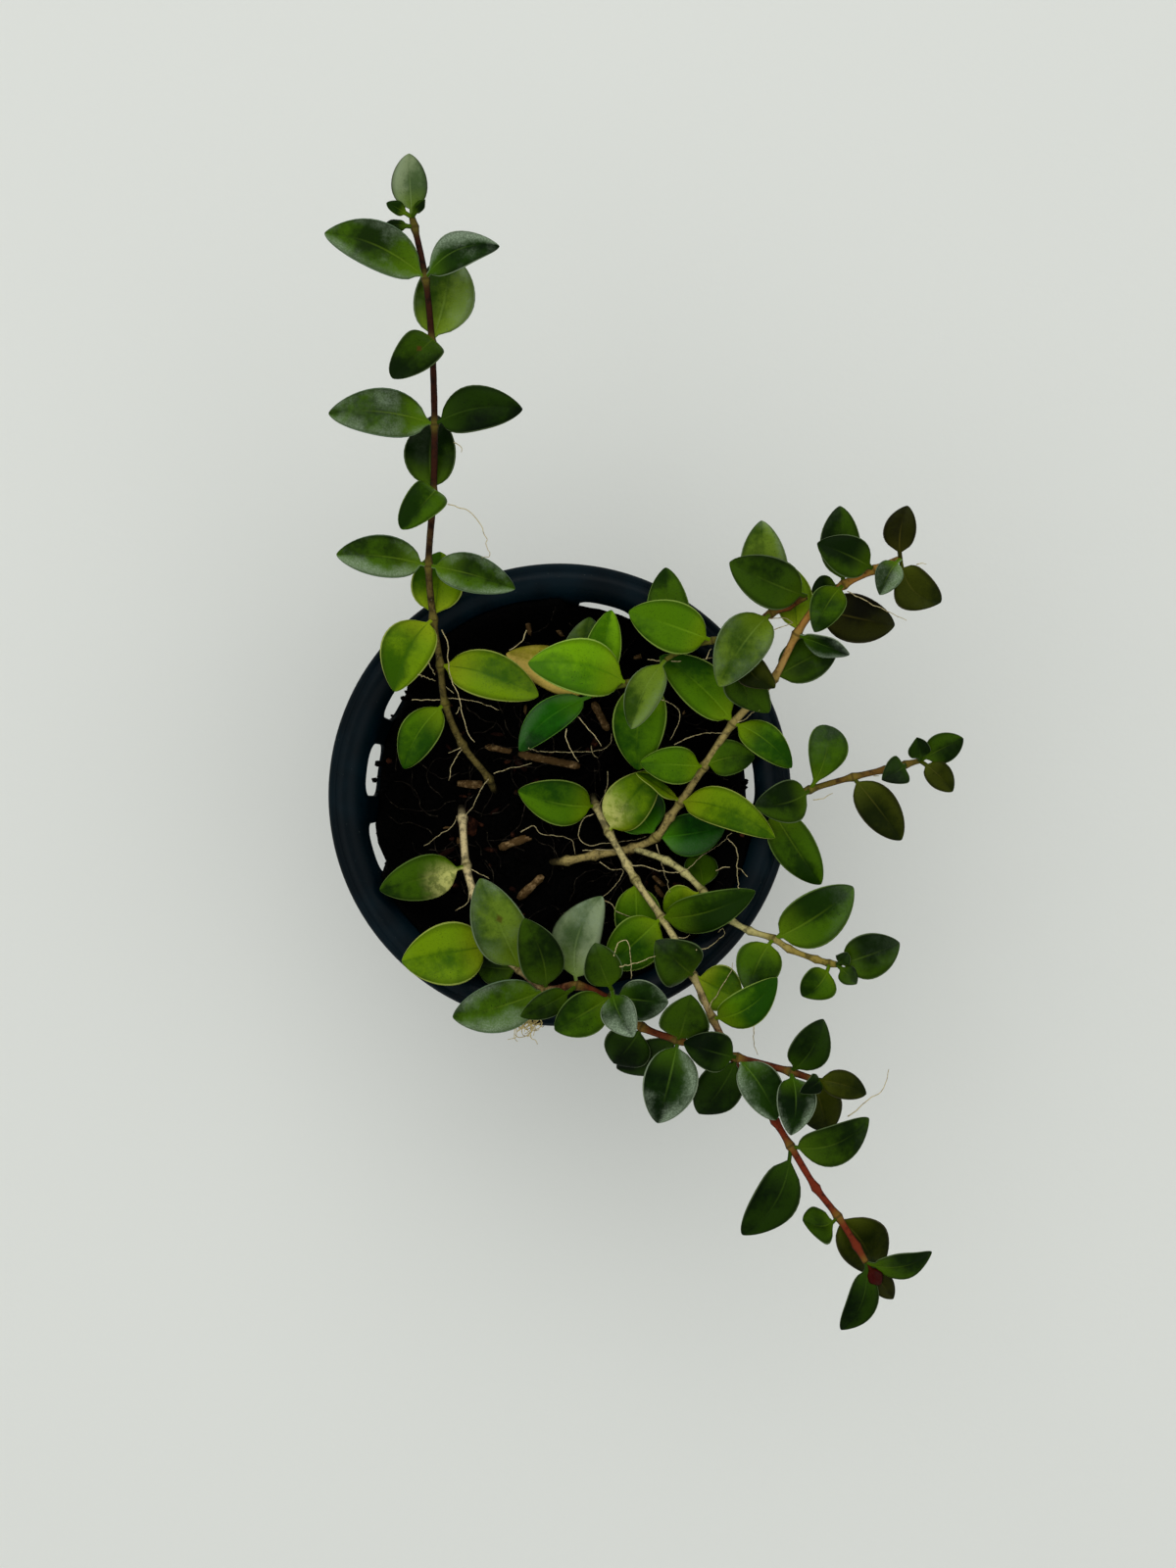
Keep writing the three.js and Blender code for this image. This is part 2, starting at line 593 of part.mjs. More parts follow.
function tube({ curve, steps }, radius) {
  return solid(new THREE.ExtrudeGeometry(polygon(radius), {
    steps,
    extrudePath: curve,
    bevelEnabled: false,
  }));
}

// The tube is straight between its rings, so a node's middle is the nearest point on those chords
function nearestOn(chords, point) {
  let best = chords[0];
  for (let i = 1; i < chords.length; i += 1) {
    const chord = new THREE.Line3(chords[i - 1], chords[i]);
    const spot = chord.closestPointToPoint(point, true, new THREE.Vector3());
    if (spot.distanceTo(point) < best.distanceTo(point)) best = spot;
  }
  return best.clone();
}

// The first point of a side shoot: out from its parent's axis, so that its end clears the parent
function shootStart(parent, node, first, radius) {
  const at = parent.points[node];
  const along = tangentAt(parent.points, node);
  const out = first.clone().sub(at).normalize();
  const slant = Math.max(0.5, Math.sqrt(1 - along.dot(out) ** 2));
  const reach = (parent.radius + SHOOT_GAP + radius * Math.abs(along.dot(out))) / slant;
  return at.clone().addScaledVector(out, reach);
}

function tangentAt(points, node) {
  const before = points[Math.max(0, node - 1)];
  const after = points[Math.min(points.length - 1, node + 1)];
  return after.clone().sub(before).normalize();
}

// Stations of a leaf from its tip to where it is attached: how far along the blade, and the half width
const BLADE = [
  [0.8, 0.62],
  [0.47, 1],
  [0.15, 0.62],
];

// A leaf: a closed lens, swept along an arched midrib with a short petiole
function leaf(row, base) {
  const { tip, width, arch = 2, bow = 0, roll = 0, fold = 12 } = row;
  const { petiole = 2, thick = LEAF_THICKNESS } = row;
  const chord = tip.clone().sub(base);
  const length = chord.length();
  const along = chord.clone().normalize();
  const side = new THREE.Vector3().crossVectors(along, new THREE.Vector3(0, 0, 1)).normalize();
  const normal = new THREE.Vector3().crossVectors(side, along);
  const turn = THREE.MathUtils.degToRad(roll);
  const across = side.clone().applyAxisAngle(along, turn);
  const up = normal.clone().applyAxisAngle(along, turn);
  const rise = Math.sin(THREE.MathUtils.degToRad(fold));
  const geometry = new THREE.SphereGeometry(1, 4, BLADE.length + 2);
  const position = geometry.getAttribute('position');
  const rows = BLADE.length + 2;
  const start = petiole / length;
  for (let i = 0; i < position.count; i += 1) {
    const polar = Math.acos(THREE.MathUtils.clamp(position.getY(i), -1, 1));
    const level = Math.round(polar / Math.PI * rows);
    const [t, half] = station(level, start, width / 2);
    const reach = level % rows === 0 ? 0 : 1 / Math.hypot(position.getX(i), position.getZ(i));
    const edge = position.getX(i) * reach;
    const face = position.getZ(i) * reach;
    const point = base.clone().addScaledVector(chord, t);
    point.addScaledVector(normal, 4 * arch * t * (1 - t));
    point.addScaledVector(side, 4 * bow * t * (1 - t));
    point.addScaledVector(across, edge * half);
    point.addScaledVector(up, Math.abs(edge) * half * rise);
    point.addScaledVector(up, face * Math.min(thick / 2, half));
    position.setXYZ(i, point.x, point.y, point.z);
  }
  return solid(geometry);
}

function station(level, start, half) {
  if (level === 0) return [1, 0];
  if (level > BLADE.length + 1) return [0, 0];
  if (level > BLADE.length) return [start, PETIOLE_HALF_WIDTH];
  const [share, wide] = BLADE[level - 1];
  return [start + (1 - start) * share, wide * half];
}

// Where a leaf starts: in the middle of its stem, or for a free leaf beside the stem, on the side
// that the leaf leaves it. At the end of a stem the middle is a little way back from the end face.
function leafStart(stem, row, tip) {
  const node = row.node + stem.offset;
  const at = nearestOn(stem.line.chords, stem.points[node]);
  const along = tangentAt(stem.points, node);
  if (node === stem.points.length - 1) at.addScaledVector(along, -END_INSET);
  if (!row.own) return at;
  const out = tip.clone().sub(at);
  out.z += 4 * (row.arch ?? 2);
  out.addScaledVector(along, -out.dot(along)).normalize();
  return at.clone().addScaledVector(out, stem.radius + LEAF_GAP);
}

// The hollow in the soil around the foot of a stem: the stem's own form, a little wider and deeper
function footPocket({ line, radius }) {
  const [foot, next] = line.chords;
  const deeper = foot.clone().lerp(next, -0.1);
  const wider = radius + FOOT_CLEARANCE;
  return tube(line, wider).add(tube(curveThrough([deeper, next]), wider));
}

const grown = {};
const feet = [];
for (const row of STEMS) {
  const points = row.path.map(place);
  if (row.from) {
    points.unshift(shootStart(grown[row.from.stem], row.from.node, points[0], row.radius));
  }
  const line = curveThrough(points);
  const stem = { points, line, radius: row.radius, offset: row.from ? 1 : 0 };
  grown[row.name] = stem;
  if (!row.from) feet.push(footPocket(stem));
  let body = tube(line, row.radius);
  row.leaves.forEach((entry, index) => {
    const tip = place(entry.tip);
    const blade = leaf({ ...entry, tip }, leafStart(stem, entry, tip));
    if (entry.own) {
      const name = `${row.name}_leaf_${String(index + 1).padStart(2, '0')}`;
      addPiece(name, blade, TONES[entry.tone], 0.35);
    } else {
      body = body.add(blade);
    }
  });
  addPiece(`${row.name}_stem`, body, row.colour, 0.6);
}

addPiece('pot', pot(), '#12303a', 0.4);
addPiece('soil', feet.reduce((body, pocket) => body.subtract(pocket), soil()), '#17120f', 0.95);

export default model;
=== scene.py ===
# %% [markdown]
# # A trailing plant in a slotted nursery pot
# This lesson dresses a finished frame of solids: a small plant with thick, glossy, paired
# leaves that trails over the rim of a dark nursery pot. Every solid of the frame keeps its
# place. Each step below replaces some of them with a finer piece that has its own finish.

import math
import random

import bmesh
import bpy
from mathutils import Matrix, Vector, noise
from mathutils.bvhtree import BVHTree


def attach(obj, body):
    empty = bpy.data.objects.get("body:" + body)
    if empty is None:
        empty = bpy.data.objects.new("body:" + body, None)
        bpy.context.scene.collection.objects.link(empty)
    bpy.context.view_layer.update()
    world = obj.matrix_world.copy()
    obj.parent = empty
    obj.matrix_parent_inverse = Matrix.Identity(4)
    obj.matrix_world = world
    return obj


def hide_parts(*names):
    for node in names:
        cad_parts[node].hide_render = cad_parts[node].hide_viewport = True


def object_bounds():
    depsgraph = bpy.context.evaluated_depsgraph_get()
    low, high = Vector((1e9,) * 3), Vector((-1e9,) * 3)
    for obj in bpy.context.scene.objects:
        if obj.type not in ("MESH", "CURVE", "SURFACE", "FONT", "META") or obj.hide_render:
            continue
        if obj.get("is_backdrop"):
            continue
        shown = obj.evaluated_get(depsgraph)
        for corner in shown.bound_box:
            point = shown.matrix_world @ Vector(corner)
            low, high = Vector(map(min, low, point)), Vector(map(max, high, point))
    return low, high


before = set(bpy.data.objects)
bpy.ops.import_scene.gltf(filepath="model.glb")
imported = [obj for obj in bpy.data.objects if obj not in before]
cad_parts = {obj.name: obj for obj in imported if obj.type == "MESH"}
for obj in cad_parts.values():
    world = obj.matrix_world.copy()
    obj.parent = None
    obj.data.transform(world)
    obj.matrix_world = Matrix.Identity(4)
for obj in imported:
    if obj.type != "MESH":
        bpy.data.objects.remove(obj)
frame_low, frame_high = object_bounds()
print("the frame has", len(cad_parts), "solids, from", frame_low, "to", frame_high)

# %% [markdown]
# The plant was measured from straight above. A place on it is written as x, y and a height over
# the rim, in millimetres, where x and y are read at the level of the rim. A leaf that stands
# above the rim is nearer to the eye and so looks larger than it is. The function place undoes
# that and gives the true point in metres. The pot is round, so around gives a true point by its
# distance and direction from the pot's axis, and full_turn parts a circle evenly.

# %% Places
MM = 0.001
POT_HEIGHT = 92.0
EYE_X = 7.25
EYE_Y = 2.75
EYE_HEIGHT = 450.0


def place(x, y, height):
    nearer = (EYE_HEIGHT - height) / EYE_HEIGHT
    level = (EYE_X + (x - EYE_X) * nearer, EYE_Y + (y - EYE_Y) * nearer)
    return Vector((*level, POT_HEIGHT + height)) * MM


def seen(point):
    """The opposite of place: a true point's x, y and height as the eye measures them."""
    height = point.z / MM - POT_HEIGHT
    nearer = (EYE_HEIGHT - height) / EYE_HEIGHT
    x = EYE_X + (point.x / MM - EYE_X) / nearer
    y = EYE_Y + (point.y / MM - EYE_Y) / nearer
    return x, y, height


def around(radius, angle, z):
    return Vector((radius * math.cos(angle), radius * math.sin(angle), z)) * MM


def full_turn(count):
    return [2 * math.pi * k / count for k in range(count)]


eye = place(EYE_X, EYE_Y, EYE_HEIGHT - 1e-6)
print("the eye is", round(eye.z, 3), "m above the floor")

# %% [markdown]
# A finish is a little program. It reads where a point lies on the piece and gives back a colour,
# a roughness and a fine relief. It could be wired up in the node editor, but then the program is
# hard to see and to repeat. So here one small class wraps a socket and lets it take part in
# ordinary sums, and a second class holds the material that is being mixed and adds any other
# node.

# %% A socket in a sum
class Wire:
    """One output socket of a node. A sum of wires and numbers adds the Math nodes for it."""

    def __init__(self, paint, socket):
        self.paint = paint
        self.socket = socket

    def math(self, operation, *values):
        return self.paint.node("ShaderNodeMath", {"operation": operation}, dict(enumerate(values)))

    def __add__(self, other):
        return self.math("ADD", self, other)

    def __sub__(self, other):
        return self.math("SUBTRACT", self, other)

    def __rsub__(self, other):
        return self.math("SUBTRACT", other, self)

    def __mul__(self, other):
        return self.math("MULTIPLY", self, other)

    def __abs__(self):
        return self.math("ABSOLUTE", self)

    __radd__ = __add__
    __rmul__ = __mul__


# %% A material that is being mixed
class Paint:
    """A new material."""

    def __init__(self, name):
        self.material = bpy.data.materials.new(name)
        self.material.use_nodes = True
        self.tree = self.material.node_tree
        self.shader = self.tree.nodes["Principled BSDF"]
        self.here = self.node("ShaderNodeTexCoord", out="Object")

    def node(self, kind, settings=None, sockets=None, out=0):
        made = self.tree.nodes.new(kind)
        for key, value in (settings or {}).items():
            setattr(made, key, value)
        for key, value in (sockets or {}).items():
            self.feed(made.inputs[key], value)
        return Wire(self, made.outputs[out])

    def feed(self, socket, value):
        if isinstance(value, Wire):
            self.tree.links.new(value.socket, socket)
        else:
            socket.default_value = value

    def painted(self, name):
        """The three numbers that a piece keeps at each point under this name."""
        read = self.node("ShaderNodeAttribute", {"attribute_name": name}, out="Vector")
        parts = self.node("ShaderNodeSeparateXYZ", None, {0: read}).socket.node.outputs
        return [Wire(self, part) for part in parts]

    def noise(self, scale, detail=2.0, rough=0.5):
        sockets = {"Vector": self.here, "Scale": scale, "Detail": detail, "Roughness": rough}
        return self.node("ShaderNodeTexNoise", None, sockets)

    def specks(self, scale, size):
        """Small round specks, one in some of the cells of this scale."""
        cells = {"Vector": self.here, "Scale": scale}
        near = self.node("ShaderNodeTexVoronoi", None, cells)
        return self.fade(near, size, size * 0.5)

    def fade(self, value, low, high):
        """0 at low, 1 at high and smooth between them."""
        sockets = {"Value": value, "From Min": low, "From Max": high}
        return self.node("ShaderNodeMapRange", {"interpolation_type": "SMOOTHSTEP"}, sockets)

    def mix(self, base, over, amount):
        sockets = {0: amount, 6: base, 7: over}
        return self.node("ShaderNodeMix", {"data_type": "RGBA"}, sockets, out=2)

    def bump(self, height, depth_mm, under=None):
        sockets = {"Height": height, "Distance": depth_mm * MM, "Strength": 1.0}
        if under:
            sockets["Normal"] = under
        return self.node("ShaderNodeBump", None, sockets)

    def finish(self, colour, roughness, relief, **fixed):
        self.feed(self.shader.inputs["Base Color"], colour)
        self.feed(self.shader.inputs["Roughness"], roughness)
        self.feed(self.shader.inputs["Normal"], relief)
        for name, value in fixed.items():
            self.shader.inputs[name.replace("_", " ")].default_value = value
        return self.material


# %% Colours
def tint(red, green, blue):
    """A colour as it is seen on a screen, from 0 to 255, as the shader wants it."""
    shares = [part / 255 for part in (red, green, blue)]
    return (*[s / 12.92 if s <= 0.04045 else ((s + 0.055) / 1.055) ** 2.4 for s in shares], 1.0)


def shaded(colour, share):
    return tint(*[part * share for part in colour])


print("a leaf green:", [round(part, 3) for part in tint(45, 80, 8)])

# %% [markdown]
# Leaves, stems and roots could be curves with a bevel, but those have a plain section and hardly
# any numbers that a finish can read. So they are meshes that grow ring by ring. A Shape gathers
# the points and the faces, with the numbers that each point is painted by, and build turns it
# into one smooth piece. A leaf that doesn't stand free joins its stem's shape, with a finish of
# its own.

# %% Shapes that grow
PLAIN = (0.0, 0.0, 0.0)


class Shape:
    def __init__(self):
        self.points = []
        self.faces = []
        self.finishes = []
        self.spots = []
        self.kinds = []

    def add(self, point, spot=PLAIN, kind=PLAIN):
        """A point, its coordinates on the piece, and what sets this leaf or stem apart."""
        self.points.append(point)
        self.spots.append(spot)
        self.kinds.append(kind)
        return len(self.points) - 1

    def face(self, corners, finish):
        self.faces.append(corners)
        self.finishes.append(finish)

    def skin(self, rings, finish):
        """Faces between each ring and the next, and a fan over both ends."""
        for ring, after in zip(rings, rings[1:]):
            count = len(ring)
            for i in range(count):
                j = (i + 1) % count
                self.face((ring[i], ring[j], after[j], after[i]), finish)
        self.face(tuple(reversed(rings[0])), finish)
        self.face(tuple(rings[-1]), finish)


def build(name, shape, finishes):
    mesh = bpy.data.meshes.new(name)
    mesh.from_pydata([tuple(point) for point in shape.points], [], shape.faces)
    for label, values in (("spot", shape.spots), ("kind", shape.kinds)):
        layer = mesh.attributes.new(label, "FLOAT_VECTOR", "POINT")
        layer.data.foreach_set("vector", [part for value in values for part in value])
    for finish in finishes:
        mesh.materials.append(finish)
    mesh.polygons.foreach_set("material_index", shape.finishes)
    mesh.shade_smooth()
    piece = bpy.data.objects.new(name, mesh)
    bpy.context.collection.objects.link(piece)
    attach(piece, "root")
    return piece


trial = Shape()
trial.skin([[0, 1, 2], [3, 4, 5]], 0)
print("a skin over two rings of three points has", len(trial.faces), "faces")

# %% [markdown]
# The leaves are thick and glossy. The young ones are bronze, those over the pot are yellow
# green, and the old ones outside are dark. All are lighter near the stalk, with a faint midrib,
# cloudy patches of a second green and fine dark specks. Light is painted on one half of each, and
# the thin margin is painted in a tint of its own, mostly pale, as a painted highlight. Some have a
# broad grey sheen, and some a silvery gleam beside the margin, both painted into the colour as
# reflections of the window. Both are a thin clear coat as well, so they catch the window too. A
# picture of a leaf could be laid on them, but it would show the same marks on each. Mixed from
# noise, and from how far a point is along and across its leaf, one finish makes every leaf another
# one and stays sharp from near by.

# %% Leaf looks
# The body's green, a second green, the base, the midrib and the margin, whose tint is mostly a
# pale painted highlight, then how strong the painted sheen is and the painted gleam beside the margin.
LEAF_LOOKS = {
    "deep": ((10, 26, 1), (42, 66, 3), (62, 88, 6), (72, 94, 20), (84, 100, 64), 0.12, 0),
    "green": ((18, 40, 1), (54, 84, 3), (86, 114, 8), (94, 120, 24), (94, 118, 54), 0.15, 0),
    "bright": ((24, 60, 1), (68, 106, 3), (114, 142, 10), (110, 146, 26), (134, 158, 70), 0.04, 0),
    "lime": ((46, 80, 1), (98, 128, 5), (138, 154, 24), (46, 80, 2), (158, 170, 80), 0.04, 0),
    "yellow": ((132, 126, 24), (202, 174, 84), (166, 154, 52), (120, 110, 30), (96, 84, 24), 0.04, 0),
    "grey": ((40, 64, 8), (92, 116, 30), (104, 130, 20), (108, 132, 50), (108, 124, 92), 0.7, 0.35),
    "bronze": ((18, 26, 1), (44, 50, 4), (66, 74, 9), (76, 76, 24), (64, 60, 42), 0.1, 0),
    "red": ((26, 1, 1), (50, 4, 3), (60, 16, 6), (70, 20, 10), (24, 4, 2), 0.04, 0),
    "night": ((4, 16, 1), (24, 44, 2), (42, 68, 5), (54, 78, 16), (80, 94, 62), 0.04, 0),
    "dusk": ((10, 10, 1), (32, 34, 3), (50, 50, 8), (84, 78, 24), (60, 56, 42), 0.04, 0),
    "emerald": ((4, 40, 1), (24, 80, 3), (72, 128, 8), (62, 122, 20), (92, 142, 52), 0.04, 0.2),
    "fresh": ((58, 102, 1), (102, 148, 6), (138, 172, 24), (70, 120, 4), (152, 180, 82), 0.04, 0),
    # In the next look the greys, and its strong sheen, are a painted reflection of the window.
    "silver": ((62, 82, 44), (118, 132, 96), (96, 122, 30), (120, 140, 86), (48, 58, 38), 0.8, 0.4),
    # The next look is a green with a strong gleam near its margin, a painted reflection of the window.
    "painted_gleam": ((20, 38, 3), (58, 88, 6), (84, 116, 12), (96, 122, 28), (96, 116, 90), 0.2, 1),
    "glossy": ((6, 22, 2), (26, 50, 6), (66, 100, 10), (86, 118, 36), (132, 146, 120), 0.4, 1.25),
}
# The tint that the painted sheen and gleam lighten toward: a painted reflection of the window.
PAINTED_SHEEN_TINT = tint(134, 152, 126)
PALE_TINT = tint(206, 206, 120)
SPECK_TINT = tint(14, 18, 4)
SCAR_TINT = tint(66, 50, 12)
print(len(LEAF_LOOKS), "looks of leaves")

# %% Leaf finishes
def leaf_green(paint, tints, clouds, grain, along, across, chance):
    """Two clouded greens with light painted on one half, then the base, the midrib and the margin."""
    body, second, base, rib, edge = tints
    from_rib = abs(across)
    # Painted light: the half on one side of the midrib, picked by chance, is lighter.
    half = paint.fade(across * (chance - 0.5), -0.1, 0.3) * paint.fade(from_rib, 0.0, 0.15)
    light = clouds + half * 0.2 - along * 0.08 + chance * 0.08 - 0.03
    colour = paint.mix(tint(*body), tint(*second), paint.fade(light, 0.38, 0.62))
    colour = paint.mix(colour, tint(*base), paint.fade(along + clouds * 0.4, 0.6, 0.15) * 0.7)
    rib_line = paint.fade(from_rib, 0.06, 0.01) * paint.fade(along, 0.85, 0.05)
    colour = paint.mix(colour, tint(*rib), rib_line * 0.55)
    dark = shaded(body, 0.45)
    colour = paint.mix(colour, dark, paint.fade(grain, 0.52, 0.8) * 0.4)
    colour = paint.mix(colour, dark, paint.fade(from_rib + clouds * 0.12, 0.75, 1.0) * 0.45)
    # Painted highlight: a thin line along the margin in a tint of its own, pale for most looks.
    return paint.mix(colour, tint(*edge), paint.fade(from_rib, 0.93, 0.97) * 0.8)


def leaf_shine(paint, along, across, chance, sheen, gleam):
    """How strong the painted sheen is, in slow patches, and the painted gleam near the margin."""
    from_rib = abs(across)
    broad = paint.noise(50, 1) + paint.noise(500, 3, 0.6) * 0.2 + along * 0.2 + chance * 0.16
    shine = paint.fade(broad, 0.86, 1.06) * paint.fade(from_rib, 1.0, 0.8) * sheen
    beside = paint.noise(100, 2, 0.6) * 0.8 + paint.noise(1100, 3, 0.7) * 0.2 + from_rib * 0.24
    beside = paint.fade(beside + along * 0.1 + across * (chance - 0.5) * 0.4, 0.58, 0.92)
    return shine + beside * paint.fade(from_rib, 1.0, 0.85) * gleam


def leaf_marks(paint, colour, clouds, along, across, pale, hurt):
    """A pale blot near the base, a brown scar, and a few fine dark specks."""
    blot = paint.fade(along + clouds * 0.5, 0.85, 0.3) * paint.fade(across - clouds, 0.3, -0.7)
    blot = blot * (paint.fade(paint.noise(480, 4, 0.7), 0.4, 0.58) * 0.6 + 0.4)
    colour = paint.mix(colour, PALE_TINT, blot * pale)
    scar = abs(along - 0.55) + abs(across - 0.1) * 0.35 + clouds * 0.08
    colour = paint.mix(colour, SCAR_TINT, paint.fade(scar, 0.12, 0.07) * hurt)
    few = paint.fade(paint.noise(90, 1), 0.5, 0.7)
    return paint.mix(colour, SPECK_TINT, paint.specks(900, 0.16) * few * 0.8)


def leaf_finish(look):
    *tints, sheen, gleam = LEAF_LOOKS[look]
    paint = Paint(f"leaf_{look}")
    along, across, under = paint.painted("spot")
    chance, pale, hurt = paint.painted("kind")
    clouds = paint.noise(60, 1) * 0.72 + paint.noise(420, 4, 0.6) * 0.28
    grain = paint.noise(2600, 2)
    colour = leaf_green(paint, tints, clouds, grain, along, across, chance)
    shine = leaf_shine(paint, along, across, chance, sheen, gleam)
    # Painted reflection: the sheen and the gleam lighten the colour toward a pale grey green.
    colour = paint.mix(colour, PAINTED_SHEEN_TINT, shine * (0.3 + paint.fade(grain, 0.35, 0.7) * 0.35))
    colour = leaf_marks(paint, colour, clouds, along, across, pale, hurt)
    back = tint(*[min(255, part * 1.2 + 14) for part in tints[1]])
    colour = paint.mix(colour, back, under * 0.5)
    relief = paint.bump(grain, 0.04, paint.bump(paint.noise(900, 3), 0.1))
    paint.feed(paint.shader.inputs["Coat Weight"], shine * 0.3)
    roughness = 0.32 + clouds * 0.1
    return paint.finish(colour, roughness, relief, Specular_IOR_Level=0.03, Coat_Roughness=0.3)


LEAF_FINISHES = {look: leaf_finish(look) for look in LEAF_LOOKS}
print(len(LEAF_FINISHES), "leaf finishes")

# %% [markdown]
# The stems are wiry. An old stretch is tan to olive, rough and dry, and a young one is red brown
# and smoother. The nodes, where leaves grow in pairs, are swollen and yellow green. Each stretch
# could have a material of its own, but then a hard line would part them. So one finish a stem
# reads how far a point is along the whole stem and how near it is to a node. Shade is painted on
# its sides and its underside.

# %% Stem finishes
STEM_TINTS = {
    "north": dict(foot=(100, 88, 44), tip=(48, 20, 8), turn=0.45),
    "south": dict(foot=(208, 190, 140), tip=(92, 40, 18), turn=0.42),
    "south_shoot": dict(foot=(92, 92, 32), tip=(84, 84, 28), turn=0.5),
    "southeast": dict(foot=(196, 182, 124), tip=(104, 38, 18), turn=0.52),
    "northeast": dict(foot=(164, 146, 88), tip=(158, 108, 48), turn=0.7),
    "lower_east": dict(foot=(186, 178, 118), tip=(140, 122, 56), turn=0.7),
    "east": dict(foot=(88, 90, 28), tip=(100, 72, 28), turn=0.6),
    "soil_shoot": dict(foot=(88, 88, 28), tip=(72, 86, 20), turn=0.5),
    "top_shoot": dict(foot=(118, 84, 36), tip=(108, 62, 26), turn=0.5),
    "rim_shoot": dict(foot=(88, 82, 30), tip=(78, 80, 22), turn=0.5),
}


def stem_finish(name, foot, tip, turn):
    paint = Paint(name)
    age, node, buried = paint.painted("spot")
    streaks = paint.noise(500, 4, 0.6)
    flakes = paint.noise(1500, 3, 0.7)
    normal = paint.node("ShaderNodeNewGeometry", out="Normal")
    upward = paint.node("ShaderNodeSeparateXYZ", None, {0: normal}, out="Z")
    ripe = paint.fade(age + streaks * 0.2 - 0.1, turn - 0.15, turn + 0.15)
    old = paint.fade(age, 0.7, 0.2)
    colour = paint.mix(tint(*foot), tint(*tip), ripe)
    # A darker copy of the stem's colours: for dark streaks and flakes of bark, and for painted shade.
    shade = paint.mix(shaded(foot, 0.36), shaded(tip, 0.3), ripe)
    colour = paint.mix(colour, shade, paint.fade(streaks, 0.48, 0.68) * 0.75)
    colour = paint.mix(colour, shade, paint.fade(flakes, 0.5, 0.35) * old * 0.5)
    colour = paint.mix(colour, tint(118, 112, 40), node * 0.5)
    colour = paint.mix(colour, tint(48, 34, 14), paint.fade(node, 0.82, 0.98) * 0.6)
    colour = paint.mix(colour, tint(196, 182, 140), paint.fade(flakes, 0.62, 0.74) * old * 0.45)
    # Painted shade: the further the surface turns from facing straight up, the darker it is.
    colour = paint.mix(colour, shade, paint.fade(upward + flakes * 0.4, 1.05, 0.4) * 0.75)
    colour = paint.mix(colour, tint(10, 7, 4), buried * 0.9)
    relief = paint.bump(streaks + flakes * 0.6, 0.45)
    return paint.finish(colour, 0.55 + flakes * 0.2, relief, Specular_IOR_Level=0.07)


STEM_FINISHES = {name: stem_finish(f"stem_{name}", **tints) for name, tints in STEM_TINTS.items()}
print(len(STEM_FINISHES), "stem finishes")

# %% [markdown]
# This is the whole plant, stem by stem, from each foot to its tip. The leaves could be copies
# of one leaf, but no two are alike here, so each has a row. It names the place of its stem's path
# that it grows from, its tip and its width. arch lifts the middle of the leaf and bow bends it to
# the right, in millimetres. fold raises both halves and roll lowers the right half, in degrees.
# tone is its slot in the record and look its finish. free says that the leaf stands free of its
# stem, so that the frame has it as a solid of its own.

# %% The plant
LEAF_THICKNESS = 1.1
STALK_LENGTH = 2.0
SOIL_DEPTH = 24.0
YOUNG_STEMS = ("south_shoot", "east", "soil_shoot", "top_shoot", "rim_shoot")


def leaf(node, tip, width, tone, **more):
    """A leaf's row. more changes some of these usual values."""
    usual = dict(
        petiole=STALK_LENGTH, arch=2.0, bow=0.0, fold=12.0, roll=0.0, free=False,
        thick=LEAF_THICKNESS, pale=0.0, hurt=0.0, form="oval", look=tone,
    )
    return dict(node=node, tip=tip, width=width, tone=tone, **{**usual, **more})


def free(*row, **more):
    return leaf(*row, free=True, **more)


STEMS = []


def add_stem(name, radius, path, leaves, grows_from=None):
    """grows_from is the stem that this one forks from, and the place of its path."""
    row = dict(name=name, radius=radius, path=path, leaves=leaves, grows_from=grows_from)
    STEMS.append(row)
    print(name, "has", len(path), "places and", len(leaves), "leaves")

